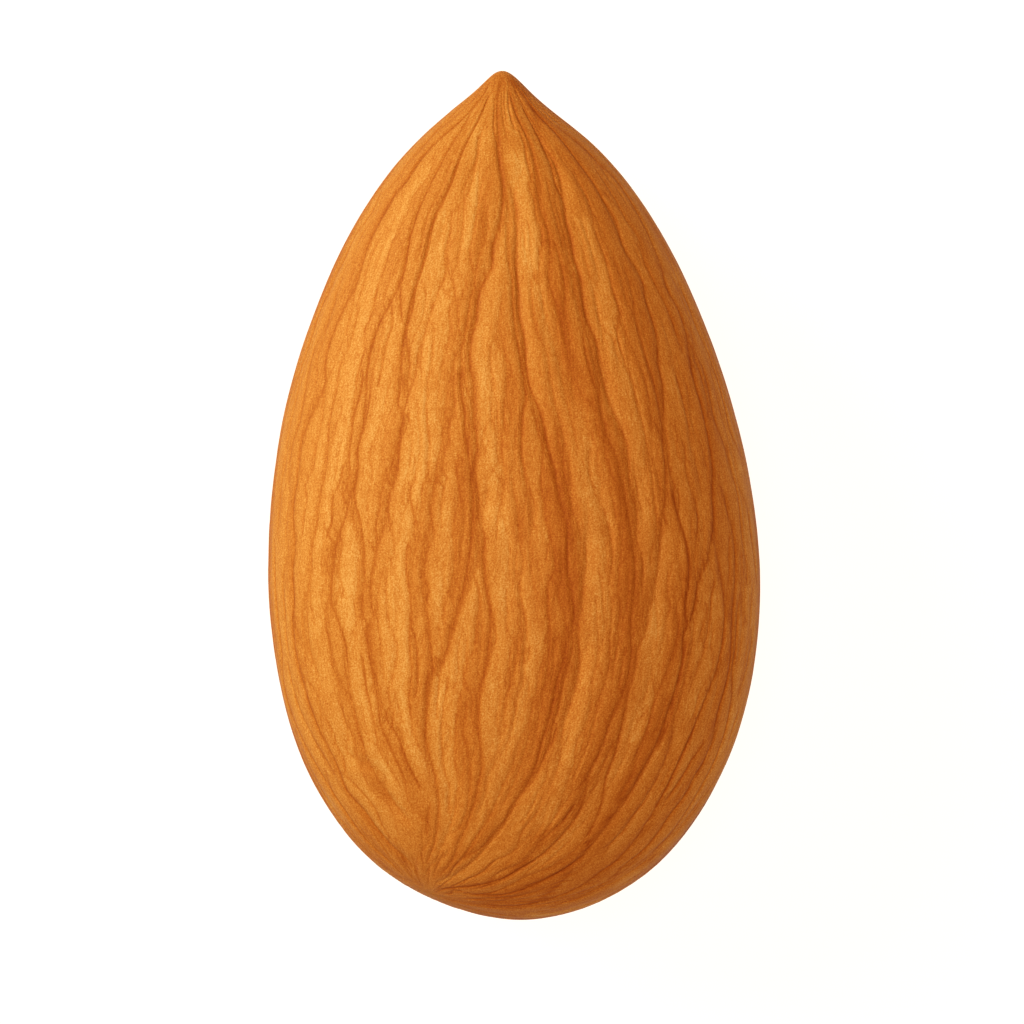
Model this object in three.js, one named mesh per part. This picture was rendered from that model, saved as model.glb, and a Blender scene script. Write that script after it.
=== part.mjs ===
// A shelled almond kernel in its brown skin, lying on one broad face.
//
// The kernel is one solid. It is a flattened teardrop: a small blunt nipple at the
// root end, a full rounded far end, and elliptical sections that are widest a little
// past the middle of its length. Its left shoulder at the far end is slightly flat,
// where the skin's veins run together.
//
// Frame, in millimetres: +Z up, +Y towards the pointed tip, +X across the width.
// The origin is at the middle of the kernel's outline, on the surface it rests on.
import * as THREE from "three";

// ---- driving dimensions ----
const LENGTH = 24.5; // tip to far end, along Y
const LOWER_FACE = 0.97; // the lower face's fullness beside the upper face's
const REST_FLAT = 0.08; // depth of the worn flat that the lower face rests on

// One row for each station down the length: the angle that places it (0 is the tip,
// 180 the far end, Y = LENGTH / 2 * cos(angle)), how far the section's middle lies
// from X = 0, and the section's half width and half height, each divided by
// sin(angle), so that both ends close smoothly.
const STATIONS = [
  // angle, middle, half width, half height
  [0, -0.342, 1.95, 1.62],
  [6, -0.34, 2.08, 1.74],
  [12, -0.334, 2.25, 1.82],
  [18, -0.338, 2.62, 1.98],
  [25, -0.36, 3.441, 2.36],
  [33, -0.31, 4.462, 2.82],
  [42, -0.268, 5.216, 3.2],
  [52, -0.238, 5.729, 3.49],
  [63, -0.205, 6.127, 3.73],
  [75, -0.152, 6.52, 3.93],
  [88, -0.07, 6.893, 4.1],
  [101, 0.0, 7.24, 4.24],
  [114, 0.042, 7.534, 4.35],
  [127, 0.046, 7.821, 4.45],
  [140, 0.055, 8.034, 4.53],
  [152, 0.09, 8.2, 4.58],
  [162, 0.175, 8.114, 4.58],
  [170, 0.24, 7.86, 4.55],
  [175, 0.235, 7.6, 4.5],
  [180, 0.22, 7.4, 4.45],
];

const COLUMNS = 72; // faces round each section
const ROWS = 38; // bands from the tip to the far end

// A natural cubic spline through (xs, ys), as a function of x.
function spline(xs, ys) {
  const n = xs.length;
  const h = xs.slice(1).map((x, i) => x - xs[i]);
  const diag = new Array(n).fill(1);
  const rhs = new Array(n).fill(0);
  const upper = new Array(n).fill(0);
  for (let i = 1; i < n - 1; i++) {
    const d = 2 * (h[i - 1] + h[i]) - h[i - 1] * upper[i - 1];
    diag[i] = d;
    upper[i] = h[i] / d;
    const slope =
      (6 * (ys[i + 1] - ys[i])) / h[i] - (6 * (ys[i] - ys[i - 1])) / h[i - 1];
    rhs[i] = (slope - h[i - 1] * rhs[i - 1]) / d;
  }
  const m = new Array(n).fill(0);
  for (let i = n - 2; i > 0; i--) m[i] = rhs[i] - upper[i] * m[i + 1];
  return (x) => {
    let i = 0;
    while (i < n - 2 && x > xs[i + 1]) i++;
    const a = (xs[i + 1] - x) / h[i];
    const b = (x - xs[i]) / h[i];
    return (
      a * ys[i] +
      b * ys[i + 1] +
      (((a ** 3 - a) * m[i] + (b ** 3 - b) * m[i + 1]) * h[i] ** 2) / 6
    );
  };
}

const angles = STATIONS.map((s) => s[0]);
const middleAt = spline(angles, STATIONS.map((s) => s[1]));
const widthAt = spline(angles, STATIONS.map((s) => s[2]));
const heightAt = spline(angles, STATIONS.map((s) => s[3]));

// Half the kernel's greatest thickness.
const fullest = Math.max(
  ...Array.from(
    { length: 1801 },
    (_, i) => heightAt(i / 10) * Math.sin((i * Math.PI) / 1800),
  ),
);
// Height of the widest line all round, where the two faces meet. It puts the lower
// face's fullest point REST_FLAT below the resting surface, where it is worn level.
const RIM_HEIGHT = LOWER_FACE * fullest - REST_FLAT;

// A unit sphere with its poles on the Y axis, each point carried to the kernel's skin.
function kernelGeometry() {
  const geometry = new THREE.SphereGeometry(1, COLUMNS, ROWS);
  geometry.deleteAttribute("normal");
  geometry.deleteAttribute("uv");
  const p = geometry.getAttribute("position");
  for (let i = 0; i < p.count; i++) {
    const row = Math.floor(i / (COLUMNS + 1));
    const column = i % (COLUMNS + 1);
    const polar = (row / ROWS) * 180;
    const turn = ((column % COLUMNS) / COLUMNS) * 2 * Math.PI;
    const s = row === 0 || row === ROWS ? 0 : Math.sin((polar * Math.PI) / 180);
    const x = middleAt(polar) - widthAt(polar) * s * Math.cos(turn);
    const y = (LENGTH / 2) * Math.cos((polar * Math.PI) / 180);
    const rise = heightAt(polar) * s * Math.sin(turn);
    const z = RIM_HEIGHT + (rise < 0 ? LOWER_FACE * rise : rise);
    p.setXYZ(i, x, y, Math.max(z, 0));
  }
  p.needsUpdate = true;
  geometry.computeVertexNormals();
  return geometry;
}

const skin = new THREE.MeshStandardMaterial({
  name: "almond_skin",
  color: 0xc87329,
  roughness: 0.62,
  metalness: 0,
});

const kernel = new THREE.Mesh(kernelGeometry(), skin);
kernel.name = "almond_kernel";

const almond = new THREE.Group();
almond.name = "almond";
almond.add(kernel);

export default almond;
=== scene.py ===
"""An almond kernel in its brown skin, lying on one broad face, seen from above.

The kernel's smooth surface is the CAD solid's own surface. On it, this script makes the
skin: veins that run from the tip to the chalaza (the patch at the far end where they
meet), the furrows beside them, and the fine fibres between. All of that relief is in the
mesh. The material adds what is finer than the mesh.
"""

import bpy
import numpy as np
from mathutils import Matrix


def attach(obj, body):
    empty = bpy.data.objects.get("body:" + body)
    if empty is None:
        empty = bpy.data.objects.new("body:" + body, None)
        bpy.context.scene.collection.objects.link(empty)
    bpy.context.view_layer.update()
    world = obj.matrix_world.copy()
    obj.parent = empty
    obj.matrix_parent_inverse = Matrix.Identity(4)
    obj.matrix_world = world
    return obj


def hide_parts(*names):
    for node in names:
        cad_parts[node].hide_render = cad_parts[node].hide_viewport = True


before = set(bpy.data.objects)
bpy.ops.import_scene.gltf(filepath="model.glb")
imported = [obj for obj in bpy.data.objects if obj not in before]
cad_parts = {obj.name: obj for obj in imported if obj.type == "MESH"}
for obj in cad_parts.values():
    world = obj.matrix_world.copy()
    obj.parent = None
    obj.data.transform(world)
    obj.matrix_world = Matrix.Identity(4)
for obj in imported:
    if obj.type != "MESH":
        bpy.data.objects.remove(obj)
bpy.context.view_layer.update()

MM = 0.001

# ---------------------------------------------------------------- the smooth kernel
LENGTH = 24.5
LOWER_FACE = 0.97
REST_FLAT = 0.08
# angle down the length, section's middle, half width and half height over sin(angle)
STATIONS = np.array(
    [
        (0, -0.342, 1.95, 1.62), (6, -0.34, 2.08, 1.74), (12, -0.334, 2.25, 1.82),
        (18, -0.338, 2.62, 1.98), (25, -0.36, 3.441, 2.36), (33, -0.31, 4.462, 2.82),
        (42, -0.268, 5.216, 3.2), (52, -0.238, 5.729, 3.49), (63, -0.205, 6.127, 3.73),
        (75, -0.152, 6.52, 3.93), (88, -0.07, 6.893, 4.1), (101, 0.0, 7.24, 4.24),
        (114, 0.042, 7.534, 4.35), (127, 0.046, 7.821, 4.45), (140, 0.055, 8.034, 4.53),
        (152, 0.09, 8.2, 4.58), (162, 0.175, 8.114, 4.58), (170, 0.24, 7.86, 4.55),
        (175, 0.235, 7.6, 4.5), (180, 0.22, 7.4, 4.45),
    ]
)  # fmt: skip


def natural_spline(xs, ys):
    n, h = len(xs), np.diff(xs)
    a, b = np.zeros((n, n)), np.zeros(n)
    a[0, 0] = a[-1, -1] = 1
    for i in range(1, n - 1):
        a[i, i - 1], a[i, i], a[i, i + 1] = h[i - 1], 2 * (h[i - 1] + h[i]), h[i]
        b[i] = 6 * ((ys[i + 1] - ys[i]) / h[i] - (ys[i] - ys[i - 1]) / h[i - 1])
    m = np.linalg.solve(a, b)

    def at(x):
        i = np.clip(np.searchsorted(xs, x, side="right") - 1, 0, n - 2)
        p, q = (xs[i + 1] - x) / h[i], (x - xs[i]) / h[i]
        bend = ((p**3 - p) * m[i] + (q**3 - q) * m[i + 1]) * h[i] ** 2 / 6
        return p * ys[i] + q * ys[i + 1] + bend

    return at


middle_at, width_at, height_at = (
    natural_spline(STATIONS[:, 0], STATIONS[:, k]) for k in (1, 2, 3)
)
turn = np.linspace(0, 180, 1801)
RIM = LOWER_FACE * float((height_at(turn) * np.sin(np.radians(turn))).max()) - REST_FLAT


def skin_point(n):
    """A direction from the kernel's middle, to the smooth surface, in mm."""
    ny = np.clip(n[..., 1], -1, 1)
    d = np.degrees(np.arccos(ny))
    k = np.sin(np.radians(d))
    h = np.hypot(n[..., 0], n[..., 2])
    h = np.where(h < 1e-12, 1, h)
    x = middle_at(d) + width_at(d) * k * n[..., 0] / h
    rise = height_at(d) * k * n[..., 2] / h
    z = RIM + np.where(rise < 0, LOWER_FACE * rise, rise)
    return np.stack([x, ny * LENGTH / 2, z], -1)


# ---------------------------------------------------------------- how the veins run
# The flow has two coordinates: s runs from 0 at the tip to 1 at the chalaza, and t turns
# round the kernel: 0 at the right rim, pi/2 along the middle of the upper face, pi at the
# left rim. Lines of one t are how an undisturbed vein would run.
PULL, REACH, STEEP = complex(-0.22796, 0.113716), np.exp(-1.24875), np.exp(0.78299)


def pulled(r):
    return PULL / (1 + (r / REACH) ** STEEP)


def flow_to_direction(s, t):
    aim = np.exp(1j * t) / np.tan(np.clip(s, 1e-9, 1) * np.pi / 2)
    w = aim
    for _ in range(80):
        w = aim + pulled(np.abs(w))
    q = np.abs(w) ** 2
    return np.stack([2 * w.real / (q + 1), (q - 1) / (q + 1), 2 * w.imag / (q + 1)], -1)


def plan_to_flow(x, y):
    """A point of the upper face seen from above, in mm, to its s and t."""
    ny = np.clip(y / (LENGTH / 2), -1, 1)
    d = np.degrees(np.arccos(ny))
    k = np.maximum(np.sin(np.radians(d)), 1e-9)
    c = np.clip((x - middle_at(d)) / (width_at(d) * k), -1, 1)
    w = (k * c + 1j * k * np.sqrt(1 - c * c)) / (1 - ny)
    aim = w - pulled(np.abs(w))
    t = np.angle(aim)
    t = np.where(t < -np.pi / 2, t + 2 * np.pi, t)
    return 2 * np.arctan2(1, np.abs(aim)) / np.pi, np.unwrap(t)


# ---------------------------------------------------------------- the veins
# Each vein of the upper face: its course seen from above in mm (x, y), tip end first, how
# far its furrow reaches to the left and to the right, and one to three profiles spread
# evenly along it: the furrow's depth in mm, how dark its crease is (its own colour and
# painted shade), and how much darker (-) or lighter (+) the skin is on its left and on its
# right, partly stain and partly painted shade of the furrow's flanks under the key lamp from the left.
VEINS = [
    ([(-6.6, -2.09), (-6.66, -2.63), (-6.58, -3.32), (-6.56, -4.01), (-6.48, -4.48), (-6.43, -4.61)], 0.38, 0.56, [(0.005, 0.14, 0.05, 0.03)]),
    ([(-6.19, 1.87), (-6.28, 1.7), (-6.48, 0.49), (-6.46, -0.1), (-6.54, -0.68), (-6.55, -1.13), (-6.48, -1.59), (-6.6, -2.1), (-6.59, -2.31), (-6.5, -2.47), (-6.64, -2.71), (-6.56, -3.79), (-6.31, -4.25), (-6.32, -4.71), (-6.42, -5.16), (-6.27, -5.98)], 0.56, 0.32, [(0.005, 0.08, 0.07, -0.05), (0.005, 0.06, -0, -0.04), (0.005, 0, 0.05, 0.06)]),
    ([(-6.52, -4.71), (-6.35, -5.61), (-6.18, -6.19), (-5.96, -6.65), (-5.47, -7.53), (-5.16, -8.02)], 0.56, 0.18, [(0.005, 0.13, 0.01, -0.07), (0.005, 0.16, 0.05, -0.05)]),
    ([(-6.31, -5.06), (-6.31, -5.33), (-6.19, -5.6), (-6.24, -5.91), (-5.93, -6.74), (-4.64, -8.92)], 0.56, 0.56, [(0.035, 0.05, 0.02, 0.05), (0.005, 0, 0.06, -0.04)]),
    ([(-5.64, -0.02), (-5.83, -0.72), (-5.94, -2), (-6.11, -2.54)], 0.56, 0.12, [(0.005, 0.01, 0.05, 0.02)]),
    ([(-5.47, 3.01), (-5.51, 2.33), (-5.6, 1.8), (-5.71, 1.28), (-5.78, 0.75), (-5.99, 0.35), (-5.95, -0.1), (-6.02, -0.61), (-6.05, -1.13)], 0.56, 0.56, [(0.029, 0.07, -0.01, 0), (0.009, 0.11, 0.03, 0.04)]),
    ([(-6.36, -3.18), (-6.19, -4.03), (-5.99, -4.46), (-5.99, -4.73), (-6.1, -4.89), (-6.12, -5.05), (-5.77, -5.51), (-5.56, -6.04), (-5.54, -6.65), (-5.38, -7.19), (-5.02, -7.94), (-4.88, -8.02)], 0.26, 0.56, [(0.005, 0.07, -0.03, -0.06), (0.005, 0.08, 0.08, 0.03)]),
    ([(-5.93, -3.15), (-5.91, -3.9), (-5.65, -5.06), (-5.41, -5.38)], 0.08, 0.56, [(0.005, 0.11, 0.05, 0)]),
    ([(-6.88, -1.18), (-6.89, -1.9), (-6.82, -3.34), (-6.68, -4.6), (-6.65, -5.24), (-6.54, -5.83), (-6.14, -6.91), (-5.64, -7.85), (-4.64, -9.41), (-4.21, -9.95), (-3.67, -10.46), (-3.21, -10.85)], 0.26, 0.56, [(0.011, 0.09, 0.03, 0.05), (0.006, 0.16, 0.06, -0.01), (0.025, 0.12, -0.01, 0.01)]),
    ([(-4.46, 6.9), (-4.63, 6.82), (-4.94, 6.3), (-5.11, 5.8), (-5.25, 5.3), (-5.43, 4.81), (-5.67, 4.4), (-5.96, 3.22), (-6.18, 2.03), (-6.58, 0.7), (-6.51, 0.43), (-6.71, -0.01)], 0.18, 0.26, [(0.005, 0.03, -0.02, -0.03), (0.005, 0.07, -0.03, -0.09), (0.005, 0.05, 0.02, -0.04)]),
    ([(-5.02, 2.27), (-5.14, 1.78), (-5.39, 1.17), (-5.45, 0.48), (-5.58, -0.19), (-5.67, -0.86), (-5.79, -1.54), (-5.85, -2.89), (-5.84, -3.1), (-5.71, -3.51), (-5.71, -3.65)], 0.08, 0.56, [(0.005, 0.06, 0.03, 0.02), (0.005, 0.11, 0.04, -0.01), (0.005, 0.08, 0.03, -0.01)]),
    ([(-5.38, -0.65), (-5.44, -1.03), (-5.42, -1.25), (-5.5, -2.07), (-5.38, -2.46), (-5.51, -2.85), (-5.51, -3.14), (-5.57, -3.44), (-5.44, -3.73), (-5.51, -4), (-5.43, -4.34)], 0.56, 0.08, [(0.005, 0.12, 0.06, -0), (0.005, 0.06, 0.09, 0.03)]),
    ([(-4.84, 4.6), (-5.11, 3.95), (-5.21, 3.62), (-5.33, 3.43), (-5.47, 3.06), (-5.48, 2.51), (-5.53, 2.07), (-5.38, 1.78), (-5.49, 1.29), (-5.51, 0.79), (-5.73, 0.31)], 0.38, 0.38, [(0.007, 0.08, -0, -0.02), (0.005, 0.01, 0.05, -0.02)]),
    ([(-4.88, 0.83), (-4.99, 0.39), (-5.19, -0.03), (-5.21, -0.77), (-5.44, -1.42), (-5.44, -1.63)], 0.56, 0.38, [(0.005, 0.21, 0.11, -0.02)]),
    ([(-4.56, 7.43), (-4.72, 7.26), (-4.92, 6.8), (-5.17, 6.37), (-5.33, 5.94), (-5.54, 5.53), (-5.82, 4.66)], 0.56, 0.26, [(0.007, 0.07, -0.04, -0.05), (0.005, 0.04, 0, -0.07)]),
    ([(-5.33, -3.32), (-5.35, -3.98), (-5.01, -5.34), (-4.68, -6.09)], 0.32, 0.18, [(0.005, 0.03, -0.04, -0.13)]),
    ([(-5.45, -6.2), (-5.32, -6.57), (-5.18, -6.84), (-5.13, -7.14), (-4.95, -7.48), (-4.85, -7.86), (-4.75, -8.11)], 0.12, 0.56, [(0.01, 0.14, 0.1, 0.06)]),
    ([(-4.79, 2.23), (-4.84, 1.88), (-5.03, 1.25), (-5.13, 0.48), (-5.3, 0.08), (-5.44, -0.09)], 0.38, 0.26, [(0.005, 0.1, 0.1, 0.1)]),
    ([(-4.91, 2.88), (-5.09, 2.03), (-5.22, 1.91)], 0.32, 0.26, [(0.015, 0.06, 0.07, 0.08)]),
    ([(-3.15, 8.78), (-3.35, 8.05), (-3.8, 7.47), (-4.25, 6.48), (-4.35, 5.97), (-4.52, 5.48), (-4.49, 5.3), (-4.53, 5.08), (-4.72, 4.37), (-5.01, 3.69), (-5.1, 2.97), (-5.27, 2.28), (-5.36, 1.12), (-5.46, 0.44), (-5.59, -0.23), (-5.66, -0.91), (-5.81, -1.58), (-5.79, -2.12), (-5.89, -2.66), (-6.05, -3.3), (-5.97, -4.09), (-5.88, -4.47), (-5.69, -4.81), (-5.58, -5.46), (-5.38, -5.79)], 0.38, 0.56, [(0.005, 0.06, 0.07, 0.05), (0.018, 0.15, 0.09, 0.03), (0.005, 0.14, -0.01, -0.04), (0.027, 0.04, 0.07, 0.08)]),
    ([(-5.1, -2.14), (-5.01, -2.28), (-4.96, -2.46), (-5.08, -3.02), (-5.09, -3.18)], 0.38, 0.38, [(0.01, 0.1, 0.08, 0.08)]),
    ([(-3.8, 8.77), (-4.01, 8.34), (-4.25, 7.93), (-4.64, 7.4), (-4.89, 6.85), (-5.19, 6.32), (-5.36, 5.88), (-5.57, 5.45), (-5.91, 4.35), (-6.3, 3.26)], 0.56, 0.56, [(0.005, 0.11, 0.05, 0.03), (0.034, 0.14, 0.03, 0.04), (0.018, 0.05, 0, 0.04)]),
    ([(-4.85, -1.11), (-5.02, -2.06), (-5, -2.46), (-4.88, -2.71), (-4.93, -2.97)], 0.12, 0.56, [(0.005, 0.16, 0.11, 0.06)]),
    ([(-0.91, 11.73), (-1.44, 11.15), (-1.87, 10.78), (-2.97, 9.67), (-3.41, 9.02), (-3.79, 8.6), (-3.85, 8.33), (-4.06, 8.16), (-4.04, 7.97), (-4.23, 7.74), (-4.59, 6.86), (-4.6, 6.54), (-4.69, 6.16), (-4.89, 5.82), (-5.16, 5.53), (-5.35, 5.03), (-5.46, 4.48), (-5.69, 3.8), (-5.64, 3.52), (-5.72, 3.14), (-5.68, 2.99), (-5.86, 2.55), (-6.15, 1.32), (-6.19, 0.76), (-6.36, -0.32), (-6.36, -0.75), (-6.31, -1.16), (-6.33, -1.62), (-6.39, -2.07), (-6.35, -2.49), (-6.38, -2.91), (-6.21, -3.6)], 0.32, 0.56, [(0.005, 0.05, -0.03, -0.11), (0.005, 0.03, -0.02, -0.04), (0.005, 0.06, -0.03, -0.01), (0.005, 0.07, 0.03, -0.04), (0.034, 0, -0.03, 0.02)]),
    ([(-1.36, 10.97), (-2.34, 10.06), (-2.72, 9.6), (-3.06, 9.09), (-3.44, 8.62), (-4.15, 7.33), (-4.33, 6.85), (-4.46, 6.35), (-5, 5.16), (-5.34, 4.27), (-5.44, 3.72), (-5.45, 3.15), (-5.69, 2.62), (-6.11, 1.54), (-6.25, 0.31), (-6.35, -0.3), (-6.36, -0.73), (-6.31, -1.16), (-6.38, -2.37), (-6.33, -2.99), (-6.35, -3.61), (-6.31, -4.23), (-5.84, -6.12), (-5.62, -6.72), (-5.06, -7.86), (-4.83, -8.46), (-4.38, -9.01), (-3.96, -9.6), (-3.14, -10.54), (-3.08, -10.71), (-3.09, -10.79)], 0.32, 0.18, [(0.005, 0.09, -0.07, -0.19), (0.005, 0.1, -0.03, -0.11), (0.005, 0.12, -0.05, -0.09), (0.005, 0.15, -0, -0.16), (0.008, 0.1, -0.06, -0.09)]),
    ([(-4.63, 5.4), (-4.77, 4.95), (-4.88, 4.45)], 0.56, 0.56, [(0.005, 0, 0.05, -0.04)]),
    ([(-5.21, -3.09), (-4.83, -4.39), (-4.84, -4.89), (-4.52, -6.51), (-4.21, -7.64)], 0.08, 0.56, [(0.01, 0.19, 0.08, 0.07), (0.005, 0.18, 0.09, 0.01)]),
    ([(-4.32, 3.53), (-4.43, 2.87), (-4.61, 2.22), (-4.65, 1.96), (-4.68, 1.56), (-4.75, 1.14), (-4.7, 0.71), (-4.78, 0.28), (-4.87, 0.05), (-4.83, -0.48)], 0.38, 0.56, [(0.037, 0.24, 0.08, 0.04), (0.005, 0.12, -0.01, -0.05)]),
    ([(-4.81, -0.56), (-4.94, -0.93), (-5.12, -1.56), (-5.2, -2.21), (-5.25, -2.94), (-5.21, -3.12), (-4.89, -4.08), (-4.8, -4.67), (-4.76, -5.36), (-4.49, -6.6), (-4.16, -7.73), (-3.82, -8.33), (-3.54, -8.75), (-3.22, -9.13)], 0.56, 0.18, [(0.021, 0.2, -0.01, -0.05), (0.005, 0.08, 0.01, -0.17), (0.044, 0.04, -0.08, -0.06)]),
    ([(-4.28, 4.13), (-4.48, 3.51), (-4.56, 2.88), (-4.75, 0.98), (-4.7, 0.73)], 0.56, 0.08, [(0.005, 0.19, 0.13, 0.01), (0.005, 0.05, 0.03, 0.02)]),
    ([(-4.6, -0.31), (-4.59, -1), (-4.42, -1.42), (-4.5, -2.04), (-4.49, -2.66), (-4.58, -3.21), (-4.5, -3.6), (-4.67, -4.04)], 0.56, 0.26, [(0.005, 0.03, 0.12, 0.05), (0.005, 0.1, 0.15, 0.05)]),
    ([(-4.64, -0.25), (-4.6, -0.77), (-4.48, -1.27), (-4.33, -2.51), (-4.4, -3.16), (-4.38, -3.75)], 0.32, 0.32, [(0.005, 0.13, -0, -0.07), (0.007, 0, -0.12, -0.12)]),
    ([(-5.46, -7.77), (-5.28, -8.41), (-4.55, -9.59), (-4.47, -9.83), (-3.99, -10.31), (-3.55, -10.83), (-3.18, -10.88)], 0.56, 0.12, [(0.005, 0.1, -0, -0.07), (0.005, 0.03, 0.09, 0.02)]),
    ([(-4.37, -5.2), (-4.34, -5.43), (-4.39, -5.86), (-4.09, -6.99)], 0.12, 0.32, [(0.005, 0.05, 0.04, 0.04)]),
    ([(-3.74, 4.8), (-3.75, 4.67), (-4.06, 3.53), (-4.17, 2.58), (-4.31, 1.93), (-4.5, 1.28), (-4.49, 0.85), (-4.58, -0.1), (-4.42, -0.77), (-4.33, -1.37), (-4.32, -2.5), (-4.37, -3.2), (-4.24, -3.87)], 0.38, 0.56, [(0.007, 0.04, 0.04, -0.02), (0.04, 0.22, 0.06, -0), (0.04, 0.09, 0, 0.03)]),
    ([(-4.36, -4.5), (-4.22, -5.7), (-4.05, -6.36)], 0.56, 0.08, [(0.005, 0.22, 0.1, -0.05)]),
    ([(-5.53, -8.48), (-4.82, -9.51), (-4.59, -9.77), (-4.51, -9.93), (-4.19, -10.28), (-3.85, -10.61), (-3.27, -11), (-2.58, -11.24)], 0.56, 0.56, [(0.048, 0.04, 0.12, 0.1), (0.005, 0.08, -0.05, -0.08)]),
    ([(-3.96, 1.46), (-4.12, 1.28), (-4.05, 0.73), (-4.08, 0.3), (-4.21, -0.11), (-4.16, -0.63), (-4.23, -1.1)], 0.56, 0.38, [(0.005, 0.08, 0.07, 0.05)]),
    ([(-4.96, -5.86), (-4.96, -6.06), (-4.84, -6.53), (-4.6, -6.95), (-4.53, -7.47), (-4.4, -7.84), (-3.94, -8.62), (-3.75, -8.77), (-3.51, -9.13), (-3.41, -9.46), (-3.21, -9.9), (-3.01, -10.11)], 0.56, 0.32, [(0.005, 0.15, 0.06, -0.04), (0.005, 0.01, 0.07, 0.03)]),
    ([(-4.09, -5.06), (-4.03, -5.38), (-4.2, -5.81), (-4.07, -6.27), (-3.91, -7.12)], 0.38, 0.12, [(0.005, 0.13, 0.05, 0.01)]),
    ([(-4.92, -7.96), (-4.37, -8.52), (-3.95, -9.07), (-3.77, -9.52), (-3.59, -9.76), (-3.6, -9.9)], 0.56, 0.56, [(0.005, 0.13, 0.08, 0.03)]),
    ([(-3.34, 8.09), (-3.53, 7.69), (-3.97, 6.61), (-4.05, 6.13), (-4.19, 5.91), (-4.3, 5.51), (-4.52, 5.16)], 0.26, 0.38, [(0.005, 0.08, 0.03, 0.01), (0.005, 0.03, 0.06, 0.02)]),
    ([(-3.21, 7.78), (-3.52, 7.23), (-3.69, 6.62), (-3.91, 6.03), (-4.12, 5.15), (-4.37, 4.55), (-4.38, 4.32)], 0.38, 0.56, [(0.005, 0.08, 0.15, -0.04), (0.005, 0.19, 0.07, -0)]),
    ([(-3.42, 1.15), (-3.55, 0.68), (-3.81, 0.03), (-3.87, -0.5), (-3.95, -0.73), (-3.98, -1.22), (-4.12, -1.4)], 0.18, 0.18, [(0.005, 0.16, 0.02, -0.03)]),
    ([(-3.36, 5.81), (-3.7, 5.25), (-3.97, 4.66), (-4.15, 3.79)], 0.08, 0.38, [(0.005, 0.25, 0.04, 0)]),
    ([(-3.53, 3.22), (-3.63, 2.98), (-3.74, 2.3), (-4.15, 1.24)], 0.56, 0.38, [(0.005, 0.08, 0.13, 0.04)]),
    ([(-3.51, -1.54), (-3.78, -2.21), (-3.86, -2.62), (-3.93, -3.03), (-3.9, -3.3), (-3.92, -3.68), (-3.85, -4.07), (-3.78, -4.8), (-3.67, -5.37), (-3.35, -5.66)], 0.26, 0.38, [(0.007, 0.11, 0.01, 0.01), (0.005, 0.09, 0.15, 0.03)]),
    ([(-3.55, -1.47), (-3.65, -1.87), (-3.91, -2.21), (-3.91, -3.78), (-3.8, -4.45), (-3.74, -5.12), (-3.66, -5.51)], 0.56, 0.12, [(0.005, 0.02, 0.01, 0), (0.005, 0.03, -0.06, -0.08)]),
    ([(-0.46, 12.11), (-0.68, 11.95), (-0.94, 11.47), (-1.27, 11.04), (-1.37, 10.78), (-1.75, 10.18), (-2.1, 9.55), (-2.74, 8.23), (-2.95, 7.58), (-3.22, 6.21), (-3.52, 5.54), (-3.88, 4.89), (-4.1, 4.2), (-4.35, 1.88), (-4.49, 1.33), (-4.51, 0.64), (-4.71, -0.02), (-4.83, -0.64), (-5.25, -1.57), (-5.38, -1.94), (-5.22, -2.45), (-5.37, -3.16), (-5.37, -3.88), (-5.26, -4.28), (-5.26, -4.7), (-5.03, -5.41), (-5.03, -5.84), (-4.8, -6.77), (-4.44, -7.62), (-4.19, -7.72), (-3.67, -8.57), (-2.92, -9.52)], 0.56, 0.32, [(0.005, 0.04, 0.01, -0.15), (0.022, 0.22, 0.06, -0.02), (0.01, 0.18, -0.04, -0.08), (0.005, 0.11, 0.06, -0.04), (0.08, 0.03, -0.02, 0.02)]),
    ([(-3.9, -6.77), (-3.95, -7.02), (-3.63, -7.78), (-3.33, -8.33)], 0.56, 0.56, [(0.005, 0.07, 0.1, -0.06)]),
    ([(-3.49, 5.3), (-3.48, 4.95), (-3.67, 4.3), (-3.9, 2.96)], 0.26, 0.38, [(0.01, 0.19, 0.14, 0.07)]),
    ([(-3.3, 4.7), (-3.37, 3.95), (-3.47, 3.57), (-3.44, 3.42), (-3.51, 2.47), (-3.69, 2.01), (-3.67, 1.67), (-3.77, 1.41), (-3.77, 1.07), (-3.66, 0.78), (-3.92, 0.28), (-4.02, -0.19)], 0.32, 0.56, [(0.005, 0, 0.04, -0.03), (0.005, 0.09, 0.01, -0.04)]),
    ([(-2.94, 2.6), (-3.15, 2.17), (-3.38, 0.58), (-3.63, -0.26), (-3.63, -0.95), (-3.81, -1.15), (-4.05, -2.04), (-4.09, -2.34), (-3.95, -2.83)], 0.38, 0.12, [(0.005, 0.2, -0.05, -0.22), (0.005, 0.11, 0.04, 0.01)]),
    ([(-4.56, -8.95), (-3.74, -10.01), (-3.26, -10.55), (-2.79, -11.14)], 0.32, 0.38, [(0.005, 0.03, -0.02, -0.05)]),
    ([(-3.93, -2.93), (-4.12, -3.76), (-3.89, -5.61), (-3.79, -6.03), (-3.25, -6.8), (-3.08, -7.34), (-3, -7.44)], 0.56, 0.18, [(0.005, 0, -0.03, -0.08), (0.005, 0.18, 0.12, -0.03)]),
    ([(-2.32, 9.68), (-2.39, 9.3), (-2.93, 8.52), (-3.1, 7.98), (-3.3, 7.6), (-3.33, 7.5), (-3.2, 7.19), (-3.36, 6.52), (-3.65, 5.94), (-3.76, 5.52), (-4.15, 5.08), (-4.31, 4.57), (-4.32, 4.03), (-4.44, 3.9), (-4.59, 3.87)], 0.56, 0.12, [(0.005, 0.11, 0.17, 0.06), (0.005, 0.07, -0.02, -0.03), (0.005, 0.09, 0.08, -0.01)]),
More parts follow.
